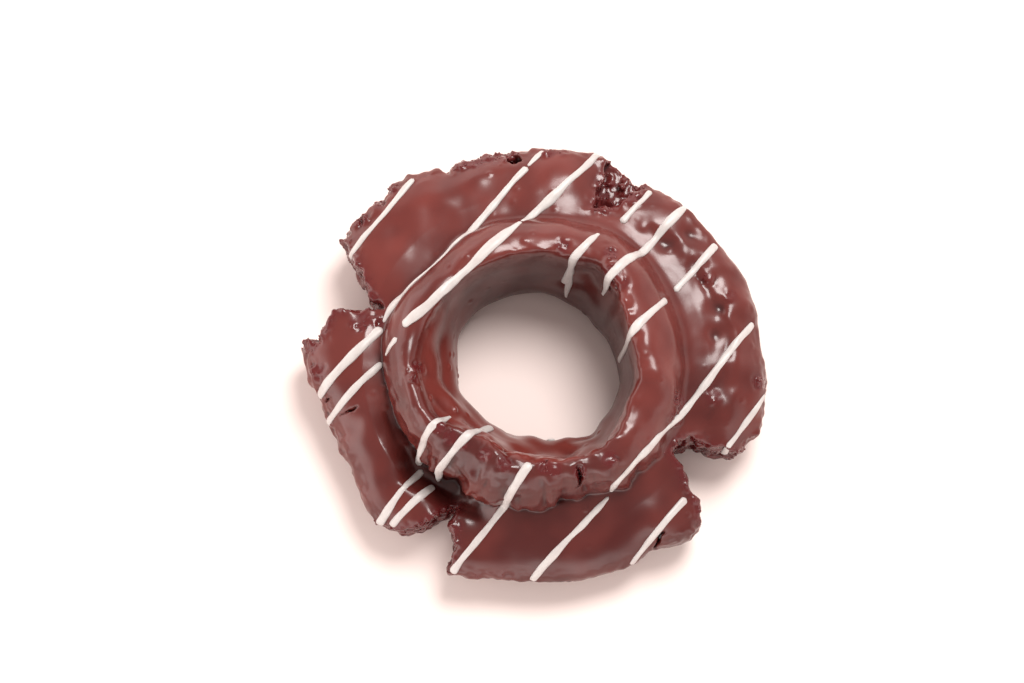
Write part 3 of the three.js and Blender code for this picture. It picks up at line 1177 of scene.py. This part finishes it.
def point_normals(points: np.ndarray, quads: np.ndarray) -> np.ndarray:
    """Unit outward direction at each point of a four-sided mesh.

    Args:
        points: The mesh's points.
        quads: Its faces.

    Returns:
        One direction for each point.
    """
    a, b, c, d = (points[quads[:, i]] for i in range(4))
    across = np.cross(c - a, d - b)
    normals = np.zeros_like(points)
    for axis in range(3):
        for side in range(4):
            normals[:, axis] += np.bincount(quads[:, side], across[:, axis], len(points))
    return normals / np.maximum(np.linalg.norm(normals, axis=1, keepdims=True), 1e-12)


def smooth_over(values: np.ndarray, quads: np.ndarray, rounds: int) -> np.ndarray:
    """Average values with their neighbours' on a four-sided mesh, several times.

    Args:
        values: A row of numbers for each point.
        quads: The mesh's faces.
        rounds: How many times they are averaged.

    Returns:
        The smoothed values.
    """
    start, end = quads.ravel(), np.roll(quads, -1, axis=1).ravel()
    count = np.bincount(start, minlength=len(values)) + np.bincount(end, minlength=len(values))
    for _ in range(rounds):
        total = np.zeros_like(values)
        for axis in range(values.shape[1]):
            total[:, axis] = (np.bincount(start, values[end, axis], len(values))
                              + np.bincount(end, values[start, axis], len(values)))
        values = 0.5 * values + 0.5 * total / count[:, None]
    return values


def make_piece(name: str, points: np.ndarray, faces: list[list[int]]) -> bpy.types.Object:
    """Make a smooth mesh object that rides with the doughnut.

    Args:
        name: The piece's name.
        points: Its points in millimetres from the collar's middle.
        faces: Its faces, as lists of point numbers.

    Returns:
        The new object.
    """
    mesh = bpy.data.meshes.new(name)
    mesh.from_pydata(((points + COLLAR_CENTRE_MM) * MM).tolist(), [], faces)
    mesh.polygons.foreach_set("use_smooth", np.ones(len(mesh.polygons), bool))
    mesh.update()
    piece = bpy.data.objects.new(name, mesh)
    bpy.context.scene.collection.objects.link(piece)
    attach(piece, BODY)
    return piece


def add_mask(piece: bpy.types.Object, name: str, values: np.ndarray) -> None:
    """Store one number for each point of a piece."""
    attribute = piece.data.attributes.new(name, "FLOAT", "POINT")
    attribute.data.foreach_set("value", values.astype(np.float32))


# ---------------------------------------------------------------- icing


class LineEnd(Enum):
    """How a line of icing starts or stops, as a share of its width."""

    BLUNT = 1.0
    BULB = 1.3
    FINE = 0.45


@dataclass(frozen=True)
class IcingLine:
    """One drawn line of icing, from lower left to upper right. Sizes in millimetres.

    A path's points are plan places, or have a height too where the line clings to a wall.
    """

    path: tuple[tuple[float, ...], ...]
    width: float = 1.35
    start: LineEnd = LineEnd.BLUNT
    end: LineEnd = LineEnd.BLUNT


LINES = (
    IcingLine(((-36.9, 22.2), (-30.4, 30.2), (-24.2, 38.0)), 1.2),
    IcingLine(((-1.5, 40.0), (1.5, 43.7)), 1.3, LineEnd.FINE),
    IcingLine(((-29.9, 8.3), (-28.6, 11.3), (-22.3, 16.7), (-12.7, 26.2), (-5.8, 34.8), (-1.6, 39.8)),
              1.35, LineEnd.FINE),
    IcingLine(((-43.7, -6.4), (-36.8, 0.6), (-30.2, 7.2)), 1.75),
    IcingLine(((-25.8, 5.8), (-20.4, 9.8), (-14.5, 15.3), (-2.9, 27.0)), 1.8, LineEnd.BLUNT,
              LineEnd.FINE),
    IcingLine(((-2.7, 27.3), (5.1, 34.8), (12.7, 43.2)), 1.55, LineEnd.FINE),
    IcingLine(((-29.3, 0.8), (-28.4, 2.2), (-26.8, 3.4)), 1.3, LineEnd.FINE, LineEnd.BULB),
    IcingLine(((-40.9, -10.6), (-35.6, -5.0), (-30.1, 0.2)), 1.45),
    IcingLine(((16.8, 28.2), (23.1, 35.2)), 1.3, LineEnd.BULB),
    IcingLine(((5.6, 17.2), (8.2, 20.2), (12.2, 24.7)), 1.5, LineEnd.BLUNT, LineEnd.FINE),
    IcingLine(((5.8, 14.6, 8.5), (6.0, 15.6, 13.0), (6.4, 17.2, 17.5)), 1.3, LineEnd.FINE),
    IcingLine(((-23.3, -19.2), (-20.4, -14.6), (-16.4, -11.2)), 1.5, LineEnd.BLUNT, LineEnd.FINE),
    IcingLine(((-30.9, -31.0), (-26.2, -24.6), (-22.3, -20.0)), 1.6),
    IcingLine(((13.2, 14.0), (20.6, 21.6), (29.8, 31.9)), 1.6, LineEnd.FINE),
    IcingLine(((-19.0, -21.9), (-14.0, -16.6), (-8.6, -11.9)), 1.5),
    IcingLine(((-29.0, -32.0), (-24.6, -27.6), (-20.0, -23.4)), 1.4),
    IcingLine(((27.3, 14.0), (35.8, 24.3)), 1.3, LineEnd.BULB),
    IcingLine(((15.4, 0.6), (19.4, 5.2), (25.3, 11.7)), 1.45),
    IcingLine(((-17.0, -41.2), (-8.6, -31.1), (-1.0, -21.4)), 1.55, LineEnd.BULB),
    IcingLine(((14.5, -25.4), (28.4, -10.2), (42.9, 8.5)), 1.5, LineEnd.FINE),
    IcingLine(((-2.3, -43.2), (6.2, -34.4), (14.1, -26.3)), 1.4, LineEnd.BLUNT, LineEnd.FINE),
    IcingLine(((36.4, -17.6), (45.3, -5.5)), 1.4),
    IcingLine(((17.6, -40.0), (23.4, -32.8), (29.3, -26.1)), 1.5),
    IcingLine(((1.9, -14.9, 7.0), (3.0, -14.8, 7.6), (4.2, -14.7, 7.0)), 1.3),
)


@dataclass(frozen=True)
class Icing:
    """The white icing lines, laid over the skin. Sizes in millimetres."""

    skin: BVHTree
    lines: tuple[IcingLine, ...] = LINES
    noise: LatticeNoise = LatticeNoise(53)
    spacing: float = 0.35
    sides: int = 12
    # A strand's height as a share of its width, and how deep it sits.
    flatness: float = 0.48
    sunk: float = 0.06
    # How far the drawn lines wander to either side, and how their width swells.
    wander: Ripples = (Ripple(0.28, 7.5), Ripple(0.112, 3.0, 9.0))
    swelling: Ripples = (Ripple(0.42, 7.0), Ripple(0.16, 3.0))
    # The thinnest share of its width that a strand draws down to.
    thinnest: float = 0.6
    # How long an end is, as a share of the width.
    end_length: float = 2.6
    # The height that lines are dropped from, above any part of the cake.
    drop_height: float = 50.0

    def _even(self, knots: np.ndarray, *others: np.ndarray) -> list[np.ndarray]:
        """Respace a run of points evenly, with any values that go with them.

        Args:
            knots: The run's points.
            *others: Values that go with them, one row for each.

        Returns:
            The respaced points, then the values.
        """
        run = np.concatenate([[0.0], np.cumsum(np.linalg.norm(np.diff(knots, axis=0), axis=1))])
        along = np.linspace(0.0, run[-1], max(6, int(run[-1] / self.spacing)))
        return [np.stack([np.interp(along, run, column) for column in values.T], 1)
                for values in (knots, *others)]

    def _eased(self, run: np.ndarray, rounds: int) -> np.ndarray:
        """Average each point but the ends with its neighbours, several times.

        Args:
            run: The points, which are changed.
            rounds: How many times they are averaged.

        Returns:
            The same points.
        """
        for _ in range(rounds):
            run[1:-1] = 0.5 * run[1:-1] + 0.25 * (run[:-2] + run[2:])
        return run

    def _rest(self, place: np.ndarray) -> tuple[np.ndarray, np.ndarray] | None:
        """Find where icing at a place meets the skin, and which way the skin faces there.

        Args:
            place: A plan place, which is dropped from above, or a place with a height too.

        Returns:
            The place on the skin in millimetres and its outward direction, or nothing.
        """
        if len(place) == 3:
            hit, normal, _, _ = self.skin.find_nearest(Vector((place + COLLAR_CENTRE_MM) * MM))
        else:
            above = np.array([*place, self.drop_height]) + COLLAR_CENTRE_MM
            hit, normal, _, _ = self.skin.ray_cast(Vector(above * MM), Vector((0, 0, -1)))
        if hit is None:
            return None
        return np.array(hit) / MM - COLLAR_CENTRE_MM, np.array(normal)

    def strand(self, line: IcingLine) -> tuple[np.ndarray, list[list[int]]]:
        """Build one strand of icing.

        Args:
            line: The line to lay.

        Returns:
            The strand's points in millimetres, and its faces.
        """
        route = self._eased(self._even(np.array(line.path))[0], 30)
        ahead = np.gradient(route[:, :2], axis=0)
        ahead /= np.linalg.norm(ahead, axis=1, keepdims=True)
        flat = np.column_stack([route[:, :2], np.full(len(route), 40.0)])
        shift = rippled(self.wander, self.noise, flat)
        route[:, :2] += shift[:, None] * ahead[:, ::-1] * (-1.0, 1.0)
        rests = [rest for rest in (self._rest(place) for place in route) if rest is not None]
        spine, facing = self._even(np.array([rest[0] for rest in rests]),
                                   np.array([rest[1] for rest in rests]))
        spine, facing = self._eased(spine, 5), self._eased(facing, 8)
        ahead = np.gradient(spine, axis=0)
        ahead /= np.linalg.norm(ahead, axis=1, keepdims=True)
        facing -= (facing * ahead).sum(1, keepdims=True) * ahead
        facing /= np.linalg.norm(facing, axis=1, keepdims=True)
        across = np.cross(facing, ahead)
        run = np.concatenate([[0.0], np.cumsum(np.linalg.norm(np.diff(spine, axis=0), axis=1))])
        half = 0.5 * line.width * self._swell(line, spine, run)
        turn = np.linspace(0.0, 2.0 * math.pi, self.sides, endpoint=False)
        ring = (np.cos(turn)[None, :, None] * half[:, None, None] * across[:, None]
                + (self.flatness * np.sin(turn) + self.sunk)[None, :, None]
                * half[:, None, None] * facing[:, None])
        points = (spine[:, None] + ring).reshape(-1, 3)
        return points, tube_faces(len(spine), self.sides)

    def _swell(self, line: IcingLine, spine: np.ndarray, run: np.ndarray) -> np.ndarray:
        """Width along a strand as a share of its usual width, rounded off at both ends.

        Args:
            line: The drawn line.
            spine: The strand's middle points.
            run: Length passed at each of them.

        Returns:
            One share for each point.
        """
        wide = np.maximum(1.0 + rippled(self.swelling, self.noise, spine), self.thinnest)
        left = run[-1] - run
        zone = self.end_length * line.width
        wide *= 1.0 + (line.start.value - 1.0) * (1.0 - ramp(0.0, zone, run))
        wide *= 1.0 + (line.end.value - 1.0) * (1.0 - ramp(0.0, zone, left))
        for end, distance in ((line.start, run), (line.end, left)):
            cap = 0.5 * line.width * end.value
            inner = np.clip(1.0 - distance / cap, 0.0, 1.0)
            wide *= np.sqrt(np.maximum(1.0 - inner ** 2, 0.004))
        return wide

    def build(self, finish: bpy.types.Material) -> tuple[bpy.types.Object, KDTree]:
        """Lay every line, join them as one piece, and list its points for a search.

        Args:
            finish: The icing's material.

        Returns:
            The piece, and its points as a search tree.
        """
        points, faces, start = [], [], 0
        for line in self.lines:
            strand, sides = self.strand(line)
            points.append(strand)
            faces.extend([[number + start for number in face] for face in sides])
            start += len(strand)
        joined = np.concatenate(points)
        piece = make_piece("icing_lines", joined, faces)
        piece.data.materials.append(finish)
        tree = KDTree(len(joined))
        for number, point in enumerate(joined):
            tree.insert(point, number)
        tree.balance()
        return piece, tree


def tube_faces(rings: int, sides: int) -> list[list[int]]:
    """Faces of a closed tube whose points come ring by ring.

    Args:
        rings: How many rings there are.
        sides: How many points each has.

    Returns:
        The faces, with one to close each end.
    """
    faces = []
    for ring in range(rings - 1):
        for side in range(sides):
            a = ring * sides + side
            b = ring * sides + (side + 1) % sides
            faces.append([a, a + sides, b + sides, b])
    faces.append(list(range(sides)))
    faces.append([(rings - 1) * sides + side for side in reversed(range(sides))])
    return faces


# ---------------------------------------------------------------- crumbs


@dataclass(frozen=True)
class GlazeCrumbs:
    """Small glazed crumbs that stand up where the cake tore. Sizes in millimetres."""

    seed: int = 17
    noise: LatticeNoise = LatticeNoise(71)
    count: int = 1400
    sizes: tuple[float, float] = (0.08, 0.26)
    # The lowest height at which crumbs are set, and how far each is sunk into the skin.
    lowest: float = 4.0
    sunk: float = 0.7
    # The gap they keep from the icing's points.
    clear: float = 0.9
    # How far each is stretched along each axis, and how bumpy it is.
    stretch: tuple[float, float] = (0.7, 1.3)
    bumps: Ripple = Ripple(0.4, 1.1)
    # How torn, hollow and warm they are, as values for the glaze's masks.
    masks: tuple[tuple[str, float], ...] = (("torn", 1.0), ("hollow", 0.4), ("warmth", 0.7))

    def _ball(self) -> tuple[np.ndarray, np.ndarray]:
        """Make the points and triangles of a small ball of radius 1.

        Returns:
            The points, and the triangles.
        """
        form = bmesh.new()
        bmesh.ops.create_icosphere(form, subdivisions=2, radius=1.0)
        points = np.array([point.co for point in form.verts])
        faces = np.array([[point.index for point in face.verts] for face in form.faces])
        form.free()
        return points, faces

    def build(self, points: np.ndarray, facing: np.ndarray, torn: np.ndarray, icing: KDTree,
              finish: bpy.types.Material) -> bpy.types.Object:
        """Scatter the crumbs over the torn parts of the skin.

        Args:
            points: The skin's points in millimetres.
            facing: The skin's outward direction at each point.
            torn: How torn the skin is at each point.
            icing: The icing's points, which the crumbs keep clear of.
            finish: The crumbs' material.

        Returns:
            One object with all the crumbs.
        """
        random = np.random.default_rng(self.seed)
        ball, triangles = self._ball()
        chance = torn ** 3 * (points[:, 2] > self.lowest) * ramp(-0.6, 0.4, facing[:, 2])
        chosen = random.choice(len(points), self.count, replace=False, p=chance / chance.sum())
        chosen = [spot for spot in chosen if icing.find(points[spot])[2] > self.clear]
        low, high = self.sizes
        crumbs, faces = [], []
        for number, spot in enumerate(chosen):
            size = low + (high - low) * random.random() ** 2
            stretch = random.uniform(*self.stretch, 3)
            bumpy = 1.0 + self.bumps.read(self.noise, ball + 7.0 * number)
            middle = points[spot] + size * (0.5 - self.sunk) * facing[spot]
            crumbs.append(middle + size * ball * bumpy[:, None] * stretch)
            faces.extend((triangles + number * len(ball)).tolist())
        piece = make_piece("glaze_crumbs", np.concatenate(crumbs), faces)
        for name, value in self.masks:
            add_mask(piece, name, np.full(len(chosen) * len(ball), value))
        piece.data.materials.append(finish)
        return piece


# ---------------------------------------------------------------- finishes


def add_node(tree: bpy.types.NodeTree, kind: str, **values: object) -> bpy.types.Node:
    """Add a shader node and set its named inputs or properties.

    Args:
        tree: The nodes to add to.
        kind: The node's type.
        **values: Properties or inputs to set, by name.

    Returns:
        The new node.
    """
    node = tree.nodes.new(kind)
    for name, value in values.items():
        label = name.replace("_", " ").title()
        if hasattr(node, name):
            setattr(node, name, value)
        else:
            node.inputs[label].default_value = value
    return node


def ripple_group() -> bpy.types.NodeTree:
    """Build the group that gives a set glaze its broad tone and its fine skin.

    Returns:
        A group with inputs Broad Scale and Fine Scale, and outputs Broad and Fine.
    """
    tree = bpy.data.node_groups.new("set_skin", "ShaderNodeTree")
    for name, value in (("Broad Scale", 120.0), ("Fine Scale", 1400.0)):
        socket = tree.interface.new_socket(name, in_out="INPUT", socket_type="NodeSocketFloat")
        socket.default_value = value
    for name in ("Broad", "Fine"):
        tree.interface.new_socket(name, in_out="OUTPUT", socket_type="NodeSocketFloat")
    inlet = tree.nodes.new("NodeGroupInput")
    outlet = tree.nodes.new("NodeGroupOutput")
    place = tree.nodes.new("ShaderNodeTexCoord")
    broad = add_node(tree, "ShaderNodeTexNoise", detail=4.0, roughness=0.55)
    fine = add_node(tree, "ShaderNodeTexNoise", detail=3.0, roughness=0.6)
    for texture, scale in ((broad, "Broad Scale"), (fine, "Fine Scale")):
        tree.links.new(place.outputs["Object"], texture.inputs["Vector"])
        tree.links.new(inlet.outputs[scale], texture.inputs["Scale"])
    tree.links.new(broad.outputs["Fac"], outlet.inputs["Broad"])
    tree.links.new(fine.outputs["Fac"], outlet.inputs["Fine"])
    return tree


def mix_node(tree: bpy.types.NodeTree, first: Colour, second: Colour) -> bpy.types.Node:
    """Add a node that mixes two colours.

    Args:
        tree: The material's nodes.
        first: The colour at a factor of 0.
        second: The colour at a factor of 1.

    Returns:
        The new node.
    """
    node = tree.nodes.new("ShaderNodeMix")
    node.data_type = "RGBA"
    node.inputs["A"].default_value = (*first, 1)
    node.inputs["B"].default_value = (*second, 1)
    return node


def range_node(tree: bpy.types.NodeTree, value: bpy.types.NodeSocket,
               span: tuple[float, float], result: tuple[float, float]) -> bpy.types.Node:
    """Add a node that maps a value from one range to another.

    Args:
        tree: The material's nodes.
        value: Where the value comes from.
        span: The range it is read over.
        result: What the ends of that range become.

    Returns:
        The new node.
    """
    node = tree.nodes.new("ShaderNodeMapRange")
    node.inputs["From Min"].default_value, node.inputs["From Max"].default_value = span
    node.inputs["To Min"].default_value, node.inputs["To Max"].default_value = result
    tree.links.new(value, node.inputs["Value"])
    return node


def skin_node(tree: bpy.types.NodeTree, skin: bpy.types.NodeTree, broad_scale: float,
              fine_scale: float) -> bpy.types.Node:
    """Place the shared skin group in a material.

    Args:
        tree: The material's nodes.
        skin: The group.
        broad_scale: Scale of its broad tone.
        fine_scale: Scale of its fine skin.

    Returns:
        The group's node.
    """
    group = tree.nodes.new("ShaderNodeGroup")
    group.node_tree = skin
    group.inputs["Broad Scale"].default_value = broad_scale
    group.inputs["Fine Scale"].default_value = fine_scale
    return group


@dataclass(frozen=True)
class ChocolateGlaze:
    """Set chocolate glaze: reddish brown and glossy, warmer with painted light where its warmth mask
    is high, darker with painted shade in hollows.
    """

    name: str = "chocolate_glaze"
    # The glaze runs from deep to warm along the warmth mask: random tone plus painted light and shade.
    deep: Colour = (0.056, 0.0076, 0.0064)
    warm: Colour = (0.15, 0.0272, 0.0212)
    # Painted shade: the colour that hollows and creases darken towards.
    hollow_shade: Colour = (0.026, 0.005, 0.005)
    crumb: Colour = (0.085, 0.009, 0.01)
    # Where on their masks painted shade darkens hollows and creases and torn cake shows through, and
    # by how much.
    shade_span: tuple[float, float] = (0.52, 0.75)
    shade_share: tuple[float, float] = (0.0, 0.85)
    torn_span: tuple[float, float] = (0.1, 0.8)
    torn_share: tuple[float, float] = (0.0, 0.75)
    ior: float = 1.27
    # Roughness where the broad tone is low and high, and how much less it is on torn cake.
    rough: tuple[float, float] = (0.28, 0.38)
    torn_gloss: float = 0.1
    # The thin, softly shining coat: its weight where the broad tone is low and high.
    coat: tuple[float, float] = (0.52, 0.28)
    coat_roughness: float = 0.2
    broad_scale: float = 110.0
    fine_scale: float = 900.0
    bump_strength: float = 0.05
    bump_depth: float = 0.0003

    def build(self, skin: bpy.types.NodeTree) -> bpy.types.Material:
        """Make the material.

        Args:
            skin: The group with the shared skin.

        Returns:
            The material.
        """
        material = bpy.data.materials.new(self.name)
        material.use_nodes = True
        tree = material.node_tree
        shader = tree.nodes["Principled BSDF"]
        shader.inputs["IOR"].default_value = self.ior
        shader.inputs["Coat Roughness"].default_value = self.coat_roughness
        group = skin_node(tree, skin, self.broad_scale, self.fine_scale)
        torn = add_node(tree, "ShaderNodeAttribute", attribute_name="torn")
        hollow = add_node(tree, "ShaderNodeAttribute", attribute_name="hollow")
        warmth = add_node(tree, "ShaderNodeAttribute", attribute_name="warmth")
        # Painted light and shade: the warmth mask makes the sides facing the lamp warmer and the far
        # sides deeper, with some random tone.
        glazed = mix_node(tree, self.deep, self.warm)
        tree.links.new(warmth.outputs["Fac"], glazed.inputs["Factor"])
        # Painted shade in hollows and creases, read off the hollow mask.
        painted_shade = range_node(tree, hollow.outputs["Fac"], self.shade_span, self.shade_share)
        base = mix_node(tree, self.deep, self.hollow_shade)
        tree.links.new(glazed.outputs["Result"], base.inputs["A"])
        tree.links.new(painted_shade.outputs["Result"], base.inputs["Factor"])
        bare = mix_node(tree, self.deep, self.crumb)
        share = range_node(tree, torn.outputs["Fac"], self.torn_span, self.torn_share)
        tree.links.new(base.outputs["Result"], bare.inputs["A"])
        tree.links.new(share.outputs["Result"], bare.inputs["Factor"])
        tree.links.new(bare.outputs["Result"], shader.inputs["Base Color"])
        gloss = range_node(tree, group.outputs["Broad"], (0.3, 0.7), self.rough)
        rougher = tree.nodes.new("ShaderNodeMath")
        rougher.operation = "MULTIPLY_ADD"
        rougher.inputs[1].default_value = -self.torn_gloss
        tree.links.new(torn.outputs["Fac"], rougher.inputs[0])
        tree.links.new(gloss.outputs["Result"], rougher.inputs[2])
        tree.links.new(rougher.outputs["Value"], shader.inputs["Roughness"])
        coat = range_node(tree, group.outputs["Broad"], (0.35, 0.65), self.coat)
        tree.links.new(coat.outputs["Result"], shader.inputs["Coat Weight"])
        bump = tree.nodes.new("ShaderNodeBump")
        bump.inputs["Strength"].default_value = self.bump_strength
        bump.inputs["Distance"].default_value = self.bump_depth
        tree.links.new(group.outputs["Fine"], bump.inputs["Height"])
        tree.links.new(bump.outputs["Normal"], shader.inputs["Normal"])
        return material


@dataclass(frozen=True)
class WhiteIcing:
    """Set white icing, slightly warm, with a low gloss."""

    name: str = "white_icing"
    pale: Colour = (0.49, 0.455, 0.435)
    warmth: Colour = (0.43, 0.375, 0.36)
    rough: tuple[float, float] = (0.3, 0.5)
    broad_scale: float = 400.0
    fine_scale: float = 2500.0

    def build(self, skin: bpy.types.NodeTree) -> bpy.types.Material:
        """Make the material.

        Args:
            skin: The group with the shared skin.

        Returns:
            The material.
        """
        material = bpy.data.materials.new(self.name)
        material.use_nodes = True
        tree = material.node_tree
        shader = tree.nodes["Principled BSDF"]
        group = skin_node(tree, skin, self.broad_scale, self.fine_scale)
        tone = mix_node(tree, self.pale, self.warmth)
        spread = range_node(tree, group.outputs["Broad"], (0.4, 0.8), (0.0, 1.0))
        tree.links.new(spread.outputs["Result"], tone.inputs["Factor"])
        tree.links.new(tone.outputs["Result"], shader.inputs["Base Color"])
        gloss = range_node(tree, group.outputs["Fine"], (0.0, 1.0), self.rough)
        tree.links.new(gloss.outputs["Result"], shader.inputs["Roughness"])
        return material


# ---------------------------------------------------------------- studio


@dataclass(frozen=True)
class Studio:
    """Pale floor, soft lights and the camera that looks down on the doughnut."""

    floor_size: float = 2.4
    floor_tone: Colour = (0.85, 0.73, 0.69)
    sky_tone: Colour = (1.0, 0.93, 0.90)
    # Light from the far wall, from the near wall at the front left, and from the ceiling.
    far_wall: float = 1.4
    near_wall: float = 4.2
    ceiling: float = 0.6
    # How far the near wall is turned to the front, and where walls and ceiling blend.
    wall_turn: float = 0.55
    wall_span: tuple[float, float] = (1.0, -1.1)
    ceiling_span: tuple[float, float] = (0.3, 0.62)
    lamp_place: tuple[float, float, float] = (0.175, 0.303, 0.606)
    lamp_size: float = 0.31
    lamp_power: float = 5.3
    lamp_tone: Colour = (1.0, 0.98, 0.96)
    lens: float = 85.0
    sensor_width: float = 36.0
    elevation: float = 78.0
    distance: float = 0.481
    aim_mm: tuple[float, float, float] = (-4.4, 4.7, 10.0)

    def floor(self) -> bpy.types.Object:
        """Lay the floor.

        Returns:
            The floor.
        """
        half = 0.5 * self.floor_size
        mesh = bpy.data.meshes.new("floor")
        corners = [(-half, -half, 0), (half, -half, 0), (half, half, 0), (-half, half, 0)]
        mesh.from_pydata(corners, [], [(0, 1, 2, 3)])
        floor = bpy.data.objects.new("floor", mesh)
        bpy.context.scene.collection.objects.link(floor)
        material = bpy.data.materials.new("pale_paper")
        material.use_nodes = True
        shader = material.node_tree.nodes["Principled BSDF"]
        shader.inputs["Base Color"].default_value = (*self.floor_tone, 1)
        shader.inputs["Roughness"].default_value = 0.7
        shader.inputs["Specular IOR Level"].default_value = 0.2
        mesh.materials.append(material)
        return floor

    def lights(self) -> None:
        """Hang a broad key light up to the right, in a room with pale walls."""
        world = bpy.data.worlds.new("soft_room")
        world.use_nodes = True
        tree = world.node_tree
        room = tree.nodes["Background"]
        room.inputs["Color"].default_value = (*self.sky_tone, 1)
        toward = tree.nodes.new("ShaderNodeTexCoord")
        axes = tree.nodes.new("ShaderNodeSeparateXYZ")
        tree.links.new(toward.outputs["Generated"], axes.inputs["Vector"])
        nearer = tree.nodes.new("ShaderNodeMath")
        nearer.operation = "MULTIPLY_ADD"
        nearer.inputs[1].default_value = self.wall_turn
        tree.links.new(axes.outputs["Y"], nearer.inputs[0])
        tree.links.new(axes.outputs["X"], nearer.inputs[2])
        walls = tree.nodes.new("ShaderNodeMapRange")
        fade = tree.nodes.new("ShaderNodeMapRange")
        fade.interpolation_type = "SMOOTHSTEP"
        for node, name, value in ((walls, "From Min", self.wall_span[0]),
                                  (walls, "From Max", self.wall_span[1]),
                                  (walls, "To Min", self.far_wall),
                                  (walls, "To Max", self.near_wall),
                                  (fade, "From Min", self.ceiling_span[0]),
                                  (fade, "From Max", self.ceiling_span[1]),
                                  (fade, "To Max", self.ceiling)):
            node.inputs[name].default_value = value
        tree.links.new(nearer.outputs["Value"], walls.inputs["Value"])
        tree.links.new(axes.outputs["Z"], fade.inputs["Value"])
        tree.links.new(walls.outputs["Result"], fade.inputs["To Min"])
        tree.links.new(fade.outputs["Result"], room.inputs["Strength"])
        bpy.context.scene.world = world
        light = bpy.data.lights.new("key", "AREA")
        light.shape = "DISK"
        light.size = self.lamp_size
        light.energy = self.lamp_power
        light.color = self.lamp_tone
        lamp = bpy.data.objects.new("key", light)
        lamp.location = self.lamp_place
        lamp.rotation_euler = (-Vector(self.lamp_place)).to_track_quat("-Z", "Y").to_euler()
        bpy.context.scene.collection.objects.link(lamp)

    def camera(self) -> None:
        """Set the camera above the doughnut, a little to the front."""
        data = bpy.data.cameras.new("camera")
        data.lens = self.lens
        data.sensor_width = self.sensor_width
        data.clip_start = 0.01
        data.clip_end = 20.0
        eye = bpy.data.objects.new("camera", data)
        lift = math.radians(self.elevation)
        aim = Vector(self.aim_mm) * MM
        eye.location = aim + self.distance * Vector((0.0, -math.cos(lift), math.sin(lift)))
        eye.rotation_euler = (math.radians(90.0 - self.elevation), 0.0, 0.0)
        bpy.context.scene.collection.objects.link(eye)
        bpy.context.scene.camera = eye

    def build(self) -> None:
        """Set up floor, lights, camera and a plain view."""
        self.floor()
        self.lights()
        self.camera()
        bpy.context.scene.view_settings.view_transform = "Standard"


def dress(doughnut: Doughnut, points: np.ndarray, quads: np.ndarray, facing: np.ndarray,
          finish: bpy.types.Material) -> dict[str, np.ndarray]:
    """Make the collar and the petals from the doughnut's skin.

    Args:
        doughnut: The form, which knows where each part lies.
        points: The skin's points in millimetres.
        quads: The skin's faces.
        facing: The skin's outward direction at each point.
        finish: The glaze.

    Returns:
        The skin's masks, one number for each of its points.
    """
    masks = doughnut.masks(points, quads)
    for part, faces in doughnut.parts(points, quads).items():
        used, local = np.unique(faces, return_inverse=True)
        name = "glazed_" + part.name.lower()
        piece = make_piece(name, points[used], local.reshape(-1, 4).tolist())
        for mask, values in masks.items():
            add_mask(piece, mask, values[used])
        # The whole skin's directions keep the joins between parts unseen.
        piece.data.normals_split_custom_set_from_vertices(facing[used].tolist())
        piece.data.materials.append(finish)
        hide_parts(NODE)
        LOG.info("%s: %d points, %d faces", name, len(used), len(faces))
    return masks


def main() -> None:
    """Build the doughnut, its icing and the studio, and report each piece."""
    logging.basicConfig(level=logging.INFO, format="%(name)s: %(message)s")
    skin_group = ripple_group()
    glaze = ChocolateGlaze().build(skin_group)
    icing_finish = WhiteIcing().build(skin_group)

    doughnut = Doughnut()
    points, quads = doughnut.mesh()
    facing = point_normals(points, quads)
    masks = dress(doughnut, points, quads, facing, glaze)

    skin = BVHTree.FromPolygons(((points + COLLAR_CENTRE_MM) * MM).tolist(), quads.tolist())
    icing, near_icing = Icing(skin).build(icing_finish)
    LOG.info("icing: %d lines, %d faces", len(LINES), len(icing.data.polygons))

    crumbs = GlazeCrumbs().build(points, facing, masks["torn"], near_icing, glaze)
    LOG.info("crumbs: %d faces", len(crumbs.data.polygons))

    Studio().build()


if __name__ == "__main__":
    main()
